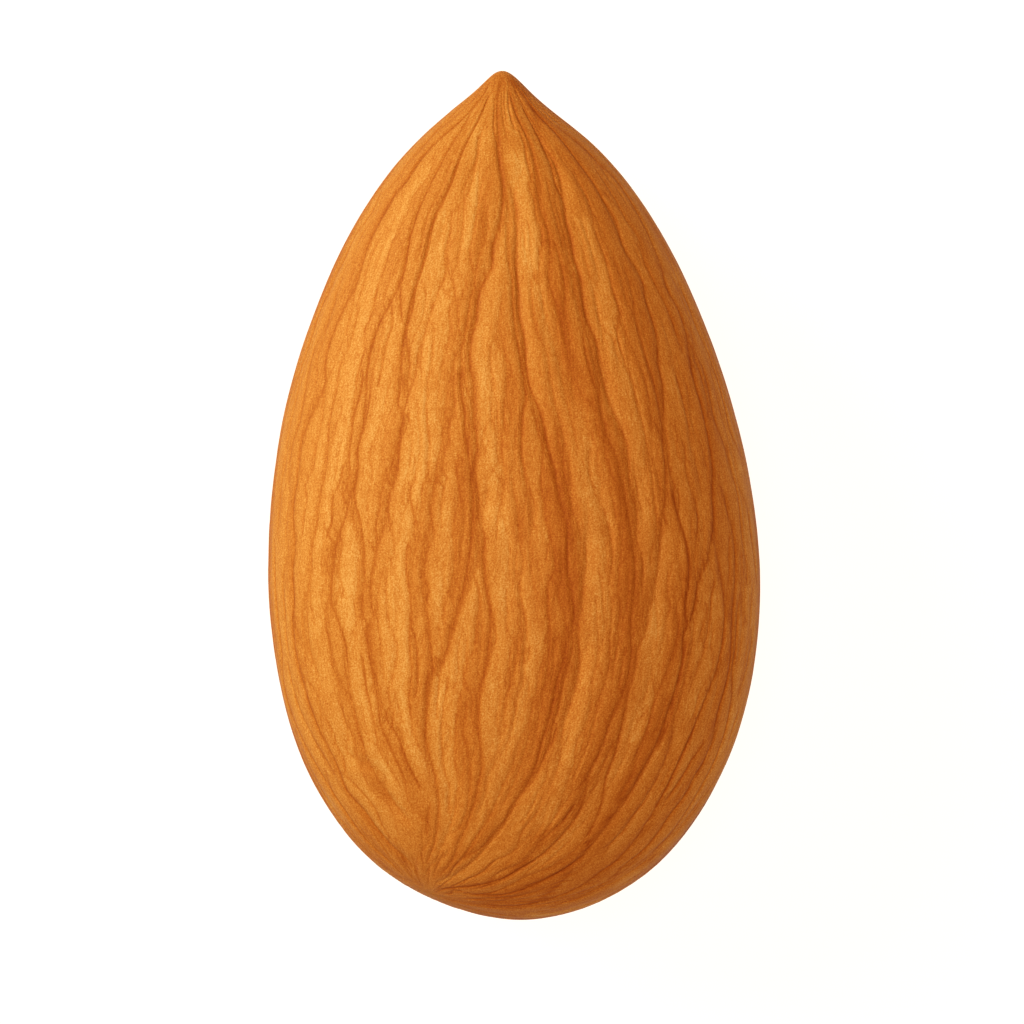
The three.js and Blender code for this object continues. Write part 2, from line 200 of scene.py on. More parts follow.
    ([(-3.4, -0.48), (-3.49, -0.86), (-3.41, -1.63), (-3.64, -2.28), (-3.68, -2.68), (-3.61, -3.13), (-3.59, -3.58), (-3.36, -4.25), (-3.42, -4.95), (-3.53, -5.33), (-3.6, -5.72), (-3.46, -6.36), (-3.54, -6.55)], 0.56, 0.56, [(0.005, 0.12, 0.02, -0.03), (0.029, 0.13, 0.1, 0.09), (0.005, 0.12, 0.05, 0.01)]),
    ([(-4.69, -8.64), (-3.87, -9.69), (-3.43, -10.19), (-3.16, -10.39), (-2.96, -10.6), (-2.91, -10.78)], 0.38, 0.56, [(0.068, 0.04, -0.03, -0)]),
    ([(-0.71, 11.85), (-1.03, 11.36), (-1.31, 11.03), (-1.61, 10.71), (-2.37, 10.05), (-2.88, 9.4), (-3.1, 9.02), (-3.4, 8.7), (-3.64, 8.24), (-3.92, 7.8), (-4.16, 7.33), (-4.39, 6.63), (-4.59, 5.92), (-4.65, 5.36), (-4.81, 4.72), (-4.75, 4.31), (-4.88, 3.86), (-5.05, 3.41), (-5.09, 2.9)], 0.08, 0.56, [(0.007, 0.16, 0.04, 0.02), (0.005, 0.16, 0.06, -0.02), (0.005, 0.07, 0.05, 0.03)]),
    ([(-3.37, -0.76), (-3.43, -1.11), (-3.3, -1.5), (-3.42, -2.19), (-3.31, -2.47), (-3.25, -2.73), (-3.33, -3.16), (-3.4, -4.72), (-3.51, -5.42)], 0.56, 0.38, [(0.009, 0.06, 0.03, 0.06), (0.01, 0.06, 0.01, -0.06)]),
    ([(-3.79, -7.31), (-3.54, -7.87), (-3.28, -8.27), (-3.15, -8.65), (-3.05, -9.05)], 0.56, 0.26, [(0.005, 0.08, 0.08, 0.08)]),
    ([(-3.45, -5.57), (-3.17, -6.55)], 0.56, 0.38, [(0.02, 0.11, 0.05, -0.01)]),
    ([(-3, -0.13), (-3.22, -0.7), (-3.28, -1.31)], 0.56, 0.56, [(0.005, 0.1, 0.13, 0.1)]),
    ([(-3.84, -6.17), (-3.41, -6.78), (-3.01, -7.78), (-2.83, -8.13), (-2.62, -8.46)], 0.08, 0.56, [(0.009, 0.28, 0.09, 0.02)]),
    ([(-3.03, 3.92), (-2.99, 3.74), (-3.07, 3.22), (-3.14, 3.04), (-3.13, 2.9)], 0.56, 0.26, [(0.027, 0.11, -0, 0.06)]),
    ([(-0.7, 11.57), (-0.91, 11.06), (-1.4, 10.08), (-1.84, 8.92), (-2.08, 8.36), (-2.36, 7.8), (-2.43, 7.29), (-2.56, 6.79), (-2.8, 6.09), (-3.06, 5), (-3.23, 3.83), (-3.23, 3.3), (-3.31, 2.77), (-3.3, 2.47), (-3.12, 2.33), (-3.23, 1.61), (-3.45, 1.08), (-3.39, 0.59), (-3.57, -0.04), (-3.68, -0.68), (-4.02, -1.93), (-4.13, -2.66), (-4.11, -3.07), (-4.06, -3.48), (-4.24, -3.81), (-4.2, -4.28), (-3.91, -5.96), (-3.83, -6.58), (-3.64, -7.05), (-3.21, -7.96), (-2.86, -9.04), (-2.49, -9.4), (-2.81, -10.53)], 0.32, 0.56, [(0.039, 0.22, 0.18, 0.07), (0.005, 0.22, 0.05, -0.07), (0.029, 0.13, -0.01, -0.03), (0.005, 0.2, 0.01, -0.1), (0.005, 0.04, 0.04, -0.04)]),
    ([(-2.85, 2.04), (-2.88, 1.9), (-2.97, 0.86), (-3.08, 0.38), (-3.27, -0.24)], 0.38, 0.12, [(0.005, 0.09, 0.07, 0)]),
    ([(-2.84, 1.28), (-2.79, 0.65), (-2.98, 0.04), (-2.84, -0.64), (-2.85, -1.11), (-3.04, -1.45), (-3.07, -1.58), (-3.07, -2.32), (-2.96, -3.05), (-3, -3.79), (-2.98, -4.52), (-2.93, -5.08), (-2.99, -5.55), (-3, -6.03), (-2.92, -6.58), (-2.83, -6.87)], 0.56, 0.38, [(0.037, 0.2, 0.04, 0.04), (0.005, 0.11, 0.11, -0.11), (0.005, 0.19, 0.05, -0.05)]),
    ([(-3.19, -4.28), (-3.08, -4.36), (-2.95, -4.73), (-3.09, -5.19), (-2.95, -6.47), (-2.81, -7.02), (-2.61, -7.38), (-2.4, -8.09)], 0.56, 0.08, [(0.005, 0, 0.04, 0.04), (0.005, 0.15, 0.14, 0.01)]),
    ([(-2.81, -3.12), (-2.97, -3.51), (-2.82, -4.11), (-2.76, -5.02), (-2.78, -5.54), (-2.93, -5.94)], 0.38, 0.56, [(0.022, 0.16, 0.07, 0.01)]),
    ([(-2.55, 0.38), (-2.52, -0.19), (-2.7, -0.5), (-2.67, -0.98), (-2.82, -1.57), (-2.91, -2.17), (-2.9, -2.39), (-2.98, -2.66), (-2.8, -2.97)], 0.12, 0.26, [(0.005, 0.08, 0.02, -0.03), (0.005, 0.08, 0.06, 0.04)]),
    ([(-2.73, 2.74), (-2.74, 2.08), (-2.68, 1.77), (-2.67, 1.32), (-2.85, 0.26), (-2.84, 0.14), (-2.75, 0.04)], 0.56, 0.18, [(0.005, 0.09, 0.11, 0.03)]),
    ([(-1.97, 6.5), (-2.58, 4.56), (-2.74, 4.02), (-2.82, 3.46), (-3.05, 2.8), (-3.12, 2.33)], 0.56, 0.56, [(0.005, 0.08, 0.02, -0.02), (0.052, 0.16, 0.11, 0.03)]),
    ([(-2.6, 6.11), (-2.53, 5.71), (-2.59, 5.15), (-2.79, 4.7), (-2.96, 4.23)], 0.12, 0.56, [(0.005, 0.07, 0.04, -0)]),
    ([(-1.45, 9.95), (-1.53, 9.78), (-1.82, 8.96), (-2.32, 7.86), (-2.52, 6.97), (-2.67, 6.43), (-2.85, 5.9), (-2.91, 5.38), (-3.03, 5.01), (-3.1, 4.62), (-2.99, 3.67), (-3.07, 3.29), (-3.23, 3.1), (-3.33, 2.78), (-3.09, 2.43)], 0.08, 0.56, [(0.005, 0.25, 0.02, -0.03), (0.008, 0.38, 0.22, 0.16), (0.005, 0.06, -0.03, -0.12)]),
    ([(-2.66, -3.04), (-2.53, -3.79), (-2.63, -4.17), (-2.53, -4.6)], 0.08, 0.56, [(0.005, 0.05, -0.05, -0.06)]),
    ([(-2.25, 5), (-2.33, 4.51), (-2.34, 3.88), (-2.47, 3.27), (-2.5, 2.75), (-2.49, 2.23), (-2.44, 1.72), (-2.47, 0.71), (-2.6, 0.25), (-2.69, -0.22), (-2.83, -0.49)], 0.38, 0.38, [(0.006, 0.11, 0.12, 0.05), (0.005, 0.14, 0.16, 0.03)]),
    ([(-2.41, -8.75), (-2.51, -9.62), (-2.44, -9.98)], 0.26, 0.12, [(0.005, 0.09, -0.05, -0.12)]),
    ([(-2.3, -5.05), (-2.48, -5.86), (-2.55, -6.36), (-2.54, -6.86), (-2.44, -7.56), (-2.32, -7.93), (-2.23, -8.31)], 0.32, 0.56, [(0.036, 0.14, 0.07, 0.03), (0.042, 0.08, 0.03, 0.01)]),
    ([(-2.34, 3.98), (-2.36, 3.48), (-2.27, 3.18), (-2.4, 2.99), (-2.51, 2.24), (-2.43, 1.67), (-2.42, 0.5), (-2.31, 0.17)], 0.18, 0.56, [(0.005, 0.08, 0.01, -0.03), (0.021, 0.13, -0.01, 0)]),
    ([(-0.94, 11.22), (-1.17, 10.9), (-1.24, 10.67), (-1.38, 10.45), (-1.6, 10.36), (-2.13, 9.51), (-2.63, 8.5), (-2.86, 7.93), (-2.99, 7.38), (-3.26, 5.93), (-3.24, 5.37), (-3.18, 4.81)], 0.56, 0.12, [(0.005, 0.07, 0.1, 0.01), (0.005, 0, -0.07, -0.07), (0.005, 0.18, 0.04, -0.1)]),
    ([(-1.69, 3.84), (-1.73, 3.05), (-1.69, 2.49), (-1.89, 1.91), (-1.86, 1.56), (-1.98, 1.31), (-2.03, 0.81), (-2.28, 0.2), (-2.38, -0.32), (-2.38, -0.74), (-2.27, -1.14), (-2.42, -1.42), (-2.52, -1.76), (-2.53, -2.47), (-2.44, -2.71), (-2.53, -3.14), (-2.46, -3.57), (-2.42, -4.13), (-2.37, -4.39), (-2.35, -5)], 0.38, 0.56, [(0.005, 0.13, -0.05, -0.07), (0.034, 0.11, 0.06, 0), (0.005, 0.21, 0.06, -0.01)]),
    ([(-1.52, 8.42), (-1.64, 7.92), (-1.64, 7.43), (-1.89, 7.16), (-1.89, 6.59), (-2.25, 5.64), (-2.55, 4.67), (-2.66, 4.18), (-2.67, 3.57), (-2.61, 3.31), (-2.61, 2.88), (-2.52, 2.73)], 0.56, 0.56, [(0.005, 0, 0.06, 0), (0.022, 0.18, 0.07, 0.05), (0.005, 0.08, 0.03, -0.01)]),
    ([(-1.33, 5.22), (-1.45, 4.5), (-1.68, 3.91), (-1.98, 2.32), (-2.04, 1.69), (-2.27, 0.43), (-2.4, -0.67), (-2.65, -1.86), (-2.56, -2.95), (-2.46, -3.62), (-2.42, -4.28), (-2.45, -4.68), (-2.43, -5.07)], 0.32, 0.32, [(0.006, 0.13, 0.01, -0.01), (0.005, 0.09, -0.05, -0.16), (0.006, 0.1, -0.08, -0.07)]),
    ([(-1.39, 10.3), (-1.66, 9.88), (-1.87, 9.43), (-2, 9.01), (-2.46, 8.06), (-2.78, 6.76), (-2.82, 6.67)], 0.08, 0.38, [(0.005, 0.01, 0, -0.09), (0.005, 0.1, -0.05, -0.05)]),
    ([(-2.01, -1.92), (-2.01, -2.66), (-2.14, -3.84), (-2.09, -4.11), (-2.14, -4.71), (-2.24, -4.92)], 0.56, 0.18, [(0.005, 0.05, 0.07, 0.01)]),
    ([(-1.85, 3.63), (-1.93, 3.48), (-1.96, 2.74), (-2, 2.53), (-2.06, 2.38), (-2.17, 2.22), (-2.01, 2.01), (-2.05, 1.57), (-2.25, 0.7)], 0.38, 0.26, [(0.005, 0.04, 0.08, 0.07), (0.005, 0.16, 0.15, 0.09)]),
    ([(-2.02, 0.86), (-1.94, 0.68), (-2.04, 0.03), (-2.09, -0.62), (-2.05, -1.1)], 0.38, 0.38, [(0.014, 0.15, 0.13, 0.05)]),
    ([(-1.19, 9.92), (-1.58, 8.78), (-2.05, 7.75), (-2.11, 7.37), (-2.29, 7.11), (-2.4, 6.78)], 0.08, 0.56, [(0.005, 0.01, -0.03, -0.09), (0.005, 0.05, 0.02, 0.01)]),
    ([(-1.87, -5.18), (-2.03, -6.12), (-2.07, -7.25), (-2.02, -7.83), (-1.86, -8.4), (-1.87, -9.1), (-1.82, -9.25)], 0.56, 0.38, [(0.018, 0.14, 0.08, -0.01), (0.005, 0.14, 0.13, 0.01)]),
    ([(-1.96, 5.83), (-1.82, 5.69), (-1.86, 5.23), (-1.81, 4.78), (-1.99, 4.18)], 0.56, 0.32, [(0.005, 0.11, 0.08, -0.06)]),
    ([(-1.93, -6.09), (-2.05, -6.3), (-1.83, -6.72), (-2.06, -7.49), (-1.88, -8.37), (-1.84, -8.93), (-1.6, -9.26)], 0.56, 0.38, [(0.005, 0.07, 0.07, 0.04), (0.032, 0.12, -0.02, 0.01)]),
    ([(-1.69, 0.16), (-1.82, -0.26), (-1.74, -1.58), (-2.01, -1.86)], 0.56, 0.08, [(0.005, 0.01, 0.05, 0.01)]),
    ([(-1.46, 1.32), (-1.63, 1), (-1.57, -0.13), (-1.77, -0.94), (-1.75, -1.36), (-1.69, -1.77), (-1.81, -2.58), (-1.97, -3.06), (-2.04, -3.55), (-2.02, -3.9), (-1.95, -4.03)], 0.56, 0.38, [(0.005, 0.07, 0.04, -0.17), (0.005, 0.15, 0.07, -0.02)]),
    ([(-1.11, -7.03), (-1.12, -7.29), (-1.29, -7.74), (-1.29, -8.56), (-1.39, -9.16), (-1.55, -9.52), (-1.99, -9.9), (-1.88, -10.17), (-1.89, -10.24), (-2.43, -10.67), (-2.58, -10.99)], 0.18, 0.56, [(0.005, 0.09, 0.06, -0.01), (0.005, 0.08, 0.06, 0.03)]),
    ([(-0.8, 10.73), (-0.94, 10.41), (-1.07, 9.72), (-1.5, 8.4), (-1.82, 8.02), (-1.81, 7.69), (-1.98, 6.97), (-1.98, 6.61), (-1.79, 6.21), (-1.67, 5.56), (-1.6, 4.89), (-1.62, 4.65), (-1.78, 4.43), (-2.11, 3.18), (-2.19, 2.54), (-2.24, 1.89)], 0.56, 0.56, [(0.041, 0.11, 0.15, 0.1), (0.005, 0.13, 0.05, -0.03), (0.005, 0.03, 0.03, -0)]),
    ([(-1.44, -3.74), (-1.6, -4.46), (-1.6, -5.15), (-1.74, -5.57)], 0.38, 0.26, [(0.005, 0.1, 0.06, 0.05)]),
    ([(-1.46, 8.39), (-1.46, 7.99), (-1.6, 6.83), (-1.74, 6.28)], 0.08, 0.38, [(0.005, 0.09, 0.07, 0.01)]),
    ([(-1.35, 0.73), (-1.42, 0.35), (-1.58, 0.19), (-1.56, 0.01), (-1.44, -0.21), (-1.39, -0.71), (-1.51, -1.4), (-1.54, -1.92), (-1.61, -2.43), (-1.76, -2.93), (-1.67, -3.49)], 0.56, 0.56, [(0.011, 0.1, -0.07, -0.04), (0.034, 0.06, 0.01, 0)]),
    ([(-1.47, 2.9), (-1.45, 2.46), (-1.26, 1.91), (-1.34, 1.48), (-1.2, 0.4), (-1.19, -0.08), (-1.22, -0.55), (-1.14, -0.95), (-1.03, -1.27), (-1.35, -2.75), (-1.58, -3.33), (-1.74, -3.94), (-1.96, -4.53), (-2.12, -5.14), (-2.2, -5.77), (-2.22, -6.41)], 0.26, 0.38, [(0.005, 0.11, -0.04, -0.16), (0.012, 0.08, 0.01, 0.01), (0.023, 0.18, 0.17, 0.11)]),
    ([(-1.64, 2.34), (-1.52, 1.66), (-1.42, 0.81)], 0.08, 0.38, [(0.005, 0.03, -0.04, -0.05)]),
    ([(-1.08, -2.35), (-1, -2.74), (-0.99, -3.12), (-1.07, -3.57), (-1.1, -4.03), (-1.21, -4.54), (-1.44, -4.92), (-1.44, -5.45), (-1.6, -5.81), (-1.64, -6.21), (-1.69, -7.72), (-1.59, -8.23), (-1.67, -8.65), (-1.67, -8.83), (-1.81, -9.41), (-2.02, -9.98), (-2.16, -10.29)], 0.56, 0.38, [(0.005, 0.18, 0.1, -0.01), (0.005, 0.05, 0.09, -0.1), (0.027, 0.08, 0.11, 0.08)]),
    ([(-1.49, -6.68), (-1.4, -7.25), (-1.48, -8.17), (-1.43, -8.33)], 0.08, 0.26, [(0.005, 0, 0.03, -0.07)]),
    ([(-1.31, 6.5), (-1.4, 6.05), (-1.58, 5.47)], 0.38, 0.56, [(0.005, 0.07, 0.11, -0.08)]),
    ([(-1.43, 3.99), (-1.5, 3.69), (-1.53, 3.08), (-1.42, 2.4), (-1.39, 1.71), (-1.26, 0.98)], 0.56, 0.56, [(0.005, 0.23, 0.06, -0.03), (0.009, 0.22, 0.06, -0.02)]),
    ([(-1.45, -6.59), (-1.46, -6.74), (-1.28, -7.46), (-1.29, -8.7)], 0.38, 0.38, [(0.009, 0.11, -0.03, -0.07)]),
    ([(-0.32, 12.09), (-0.41, 11.85), (-0.48, 11.03), (-0.45, 10.38), (-0.45, 9.73), (-0.33, 9), (-0.33, 8.35), (-0.42, 7.75), (-0.6, 7.17), (-0.65, 6.55), (-0.86, 6.14), (-1.02, 5.72), (-1.07, 5.15), (-1.28, 4.06), (-1.25, 3.63), (-1.16, 3.2), (-1.16, 2.18), (-1.09, 1.68), (-1.05, 1.2), (-1.24, 0.74), (-1.18, 0.04), (-1.22, -1.2), (-1.51, -2.87), (-1.83, -3.91), (-1.93, -4.46), (-2.47, -5.21), (-2.53, -5.63), (-2.51, -6.04), (-2.56, -6.63), (-2.51, -7.21), (-2.23, -8.29), (-2.18, -8.71), (-2.23, -9.6), (-2.32, -10.07), (-2.54, -10.63)], 0.32, 0.26, [(0.005, 0.07, -0.07, -0.15), (0.005, 0.24, 0.01, -0.13), (0.005, 0.18, 0.02, -0.11), (0.005, 0.18, -0.06, -0.17), (0.01, 0.12, 0.08, -0)]),
    ([(-1.32, -5.51), (-1.25, -5.66), (-1.38, -5.99), (-1.4, -6.6)], 0.38, 0.56, [(0.005, 0.08, 0, -0.03)]),
    ([(-1.33, -3.8), (-1.36, -3.94), (-1.37, -4.51), (-1.45, -5.07), (-1.45, -5.34), (-1.27, -5.59), (-1.17, -5.92), (-1.23, -6.35), (-1.11, -6.66), (-1.37, -6.96)], 0.56, 0.18, [(0.005, 0.09, 0.09, -0.01), (0.009, 0.08, -0.11, -0.09)]),
    ([(-0.68, 10.66), (-0.94, 10.43), (-1.05, 9.79), (-1.48, 8.58), (-1.46, 8.12), (-1.52, 7.6), (-1.49, 7.4), (-1.42, 7.34)], 0.12, 0.56, [(0.006, 0.21, 0.02, -0.01), (0.005, 0.04, 0.08, -0)]),
    ([(-0.98, 9.47), (-1.05, 8.16), (-1.29, 6.95)], 0.38, 0.12, [(0.005, 0.1, 0.09, 0.03)]),
    ([(-0.97, -0.76), (-0.85, -1.11), (-0.88, -1.63), (-0.85, -2.15), (-0.78, -2.84), (-0.67, -3.53), (-0.72, -4.2), (-0.82, -4.88), (-1, -5.54), (-1.03, -6.86), (-0.94, -7.49), (-0.99, -8.13), (-1.09, -8.59), (-1.29, -9.24), (-1.54, -9.86), (-2.11, -10.85), (-2.22, -10.92)], 0.26, 0.18, [(0.005, 0.17, -0.06, -0.17), (0.005, 0.13, -0.13, -0.23), (0.016, 0.02, -0.01, 0.01)]),
    ([(-0.45, 9.82), (-0.43, 9.41), (-0.65, 9.25), (-0.78, 7.56), (-0.92, 7.15), (-1.14, 6.22), (-1.15, 6.04), (-1.28, 5.51), (-1.35, 4.96), (-1.49, 4.43), (-1.51, 3.81), (-1.25, 2.74), (-1.17, 2.51), (-1.14, 1.9), (-0.91, 1.55), (-1.08, 1.2), (-1.11, 0.82), (-1.09, 0.32), (-1, -0.17), (-1.05, -0.69)], 0.38, 0.56, [(0.03, 0, 0.03, 0.04), (0.005, 0.15, -0.01, -0.12), (0.071, 0.14, 0.08, 0.08)]),
    ([(-0.65, 9.57), (-0.85, 9.22), (-0.98, 8.66), (-1.16, 7.52), (-1.28, 6.96), (-1.17, 6.25), (-1.18, 5.98)], 0.56, 0.08, [(0.005, 0.13, 0.09, -0.03), (0.005, 0.12, 0.06, 0.01)]),
    ([(-0.74, 0.49), (-0.78, -0.03), (-0.92, -0.71), (-0.86, -1.27), (-0.87, -1.77), (-0.84, -2.27), (-0.64, -3.48), (-0.51, -4.07), (-0.73, -4.71), (-1.03, -6.32), (-1.03, -6.88), (-0.94, -7.44), (-0.97, -8), (-1.04, -8.38), (-0.87, -8.56), (-1.12, -8.79), (-1.6, -10.03), (-1.87, -10.62), (-2.36, -10.99)], 0.38, 0.56, [(0.084, 0.03, -0.04, -0), (0.005, 0.16, 0.14, 0.04), (0.006, 0.06, 0.08, 0.06), (0.005, 0, -0.09, -0.12)]),
    ([(-0.94, -2.97), (-0.93, -3.48), (-1.07, -5.43), (-1.14, -5.77)], 0.38, 0.56, [(0.013, 0.05, -0.02, -0.03)]),
    ([(-0.62, 9.33), (-0.81, 8.67), (-0.93, 8), (-0.96, 7.32), (-1.21, 6.77)], 0.26, 0.26, [(0.005, 0.03, -0.03, -0.1)]),
    ([(-0.33, 8.61), (-0.37, 8.03), (-0.58, 7.16), (-0.67, 6.51), (-1.01, 5.85), (-1.12, 4.89), (-1.28, 4.12), (-1.27, 3.8), (-1.07, 3.49), (-1.14, 3.15), (-1.09, 2.71), (-1.09, 2.27), (-0.87, 1.83), (-0.73, 1.65), (-0.82, 1.26), (-0.69, 1.08)], 0.56, 0.56, [(0.025, 0.17, 0.07, 0.06), (0.093, 0.08, 0.1, 0.12), (0.005, 0.12, 0.19, 0.03)]),
    ([(-0.06, -6.64), (-0.1, -7.19), (-0.52, -7.56), (-0.64, -7.76), (-0.82, -8.49), (-0.75, -8.95), (-0.86, -9.46), (-1.22, -9.99), (-1.43, -10.35), (-1.66, -10.6)], 0.12, 0.38, [(0.005, 0.03, 0.02, -0.04), (0.005, 0.07, -0.1, -0.12)]),
    ([(-0.62, 5.58), (-0.65, 5.24), (-0.78, 4.86), (-0.89, 4.17), (-0.76, 3.75), (-0.79, 2.57), (-0.71, 1.84)], 0.38, 0.56, [(0.012, 0.04, 0.02, 0.05), (0.005, 0.02, 0.07, 0.06)]),
    ([(-0.68, 4.28), (-0.65, 3.53), (-0.57, 3.03), (-0.65, 2.25), (-0.48, 1.64)], 0.08, 0.56, [(0.005, 0.17, 0.1, 0.06)]),
    ([(-0.48, 12.1), (-0.66, 11.92), (-0.57, 11.67), (-0.56, 11.24), (-0.58, 10.55), (-0.52, 9.85), (-0.62, 9.69)], 0.56, 0.56, [(0.005, 0.05, 0.07, 0.01), (0.051, 0.17, 0.06, 0.02)]),
    ([(-0.68, 5.11), (-0.64, 4.64), (-0.45, 4.36), (-0.65, 3.72), (-0.56, 2.86), (-0.46, 2.56), (-0.51, 2.22), (-0.45, 1.96), (-0.44, 1.66), (-0.48, 0.89), (-0.62, 0.67)], 0.56, 0.08, [(0.005, 0.07, 0.04, -0.01), (0.005, 0.19, 0.09, 0.02)]),
    ([(-0.3, -4.99), (-0.39, -5.09), (-0.38, -5.66), (-0.49, -6.25), (-0.62, -7.46), (-0.82, -7.61)], 0.56, 0.26, [(0.005, 0.06, 0.1, 0.07)]),
    ([(0.09, -10.56), (-0.58, -10.94), (-0.77, -11.15)], 0.38, 0.38, [(0.022, 0.09, 0.03, 0.13)]),
    ([(-0.28, 6.07), (-0.38, 5.34), (-0.43, 4.69), (-0.33, 4.32), (-0.2, 3.6), (-0.3, 2.43), (-0.31, 1.87), (-0.44, 1.66), (-0.25, 0.4), (-0.41, -0.33), (-0.48, -0.79), (-0.48, -1.42)], 0.56, 0.56, [(0.005, 0.03, 0.08, -0.02), (0.005, 0.15, -0.04, -0.07), (0.021, 0.12, 0.09, 0.08)]),
    ([(-0.27, 5.04), (-0.39, 4.89), (-0.35, 4.44), (-0.26, 4.06), (-0.1, 3.7), (-0.22, 2.78), (-0.08, 2.09), (-0.28, 1.74), (-0.35, 1.2), (-0.28, 0.66), (-0.34, 0.12), (-0.14, 0)], 0.56, 0.08, [(0.007, 0.03, -0.03, -0.02), (0.005, 0.22, 0.15, 0.03)]),
    ([(-0.32, 8.4), (-0.17, 8.35), (-0.21, 7.94), (-0.19, 7.38)], 0.56, 0.56, [(0.048, 0.07, -0, -0)]),
    ([(0.1, -4.34), (-0.02, -5.21), (0.1, -5.7), (-0.18, -6.02), (-0.31, -6.35), (-0.21, -6.62), (-0.38, -6.94), (-0.46, -7.19), (-0.5, -7.47)], 0.18, 0.38, [(0.006, 0.13, 0.01, 0.04), (0.005, 0.04, 0.1, 0.1)]),
    ([(0.12, -3.84), (0.08, -4.59), (-0.29, -6.04), (-0.36, -6.78), (-0.56, -7.5)], 0.38, 0.18, [(0.005, 0.14, 0.05, -0.05), (0.008, 0.06, -0.05, -0.06)]),
    ([(0.63, -10.41), (0.32, -10.64), (-0.5, -11.12), (-1.2, -11.33)], 0.18, 0.18, [(0.005, 0.06, -0.05, -0.04)]),
    ([(-0.37, -0.02), (-0.31, -0.62), (-0.14, -1.3), (-0.13, -2.29), (-0.07, -2.77), (-0.19, -3.03), (0.03, -3.19)], 0.56, 0.32, [(0.014, 0.07, 0.12, 0.08), (0.005, 0.07, 0.14, 0.06)]),
    ([(-0.11, -2.35), (-0.12, -2.48), (-0.22, -2.73), (-0.17, -3.29), (-0.19, -3.86), (-0.1, -4.05)], 0.38, 0.38, [(0.005, 0.13, 0.13, 0.07)]),
    ([(0.21, -3.44), (0.12, -3.88), (-0.08, -4.29), (-0.14, -4.89), (-0.3, -5.34), (-0.39, -5.45)], 0.56, 0.38, [(0.005, 0.09, 0.07, -0.02)]),
    ([(0.34, 2.97), (0.25, 2.37), (0.21, 1.28), (0.29, 0.58), (0.43, -0.11), (0.5, -0.82), (0.4, -1.19), (0.07, -1.66), (0.03, -2.09), (0.24, -3.36), (0.19, -3.8), (0.31, -4.23), (0.25, -4.77), (0.26, -5.32), (0.1, -5.82), (0.02, -6.33), (-0.1, -6.84), (-0.36, -7.38), (-0.55, -7.63), (-0.75, -8.01), (-0.79, -8.45), (-1.17, -9.35)], 0.08, 0.56, [(0.008, 0.26, 0.08, 0.02), (0.005, 0.1, 0.1, 0.03), (0.005, 0.17, 0.17, 0.14), (0.005, 0.03, 0.06, 0.06)]),
    ([(-0.1, 0.91), (-0.05, 0.7), (-0.04, 0.24), (0.06, -0.21), (0.13, -0.98), (0.13, -1.54)], 0.56, 0.18, [(0.005, 0.09, -0.01, -0.06)]),
    ([(0.04, 3.62), (0.05, 3.39), (-0.02, 2.74), (0.07, 2.18), (0.06, 1.66), (-0.01, 1.15), (0.07, 0.65), (-0.04, 0.28), (0.03, 0.05), (0.06, -0.38), (0.1, -0.53)], 0.38, 0.32, [(0.005, 0.04, 0.01, -0.04), (0.005, 0.02, 0.05, 0.07)]),
    ([(1.08, -8.58), (0.92, -8.99), (0.8, -9.41), (0.29, -10.25), (0.2, -10.49), (-0.59, -10.94), (-0.76, -11.12), (-1.35, -11.26)], 0.18, 0.56, [(0.005, 0.04, 0.05, 0.02), (0.005, 0.02, -0.08, -0.12)]),
    ([(1.29, -11.05), (0.87, -11.28), (0.42, -11.45), (0.03, -11.53), (-0.42, -11.67), (-1.42, -11.55)], 0.56, 0.56, [(0.005, 0.08, -0.08, -0.04)]),
    ([(-0.32, 12.11), (-0.45, 11.49), (-0.47, 10.83), (-0.45, 9.95), (-0.26, 8.66), (-0.14, 8.03), (-0.19, 7.39), (-0.17, 6.74), (-0.06, 6.2), (-0.05, 5.64), (0.07, 4.48), (0.19, 3.87), (0.28, 3.26), (0.32, 2.64), (0.25, 2.38), (0.25, 1.87), (0.2, 1.36), (0.32, 0.49), (0.56, -0.17), (0.56, -0.9), (0.43, -1.33), (0.55, -1.76), (0.72, -1.98), (0.69, -2.19), (0.84, -2.5), (0.86, -2.95)], 0.18, 0.38, [(0.016, 0.07, 0.05, 0.07), (0.005, 0.08, -0.04, -0.15), (0.005, 0.21, 0.05, -0.09), (0.011, 0, 0.03, 0.02)]),
    ([(0.33, 0.17), (0.3, -0.31), (0.13, -0.85), (0.13, -1.33), (0.27, -1.87), (0.16, -2.43), (0.15, -2.61), (0.26, -3.35), (0.34, -3.73), (0.36, -4.11), (0.45, -4.5), (0.25, -5.06), (0.39, -5.3), (0.2, -6.05), (0.05, -7.1)], 0.08, 0.56, [(0.005, 0, 0.01, -0.05), (0.005, 0.22, 0.1, 0), (0.005, 0, 0.04, 0.03)]),
    ([(0.75, -5.85), (0.8, -6.01), (0.76, -6.23), (0.51, -6.68), (0.21, -7.64), (-0.03, -8.27), (-0.34, -8.86), (-0.51, -9.12)], 0.56, 0.38, [(0.005, 0.04, 0.01, -0.08), (0.026, 0.04, 0.01, 0.01)]),
    ([(0.08, 10.06), (0.04, 9.94), (0.23, 9.36), (0.01, 8.81), (0.02, 8.25), (0.08, 7.6), (0.08, 6.3), (0.13, 5.85), (0.13, 5.39), (0.19, 4.97), (0.29, 4.57), (0.35, 3.62), (0.43, 3.19), (0.57, 2.78), (0.71, 2.47), (1.06, 1.04), (1.29, 0.34)], 0.56, 0.56, [(0.005, 0.01, 0.16, 0.09), (0.079, 0.21, 0.12, 0.07), (0.034, 0.23, -0.03, -0.02)]),
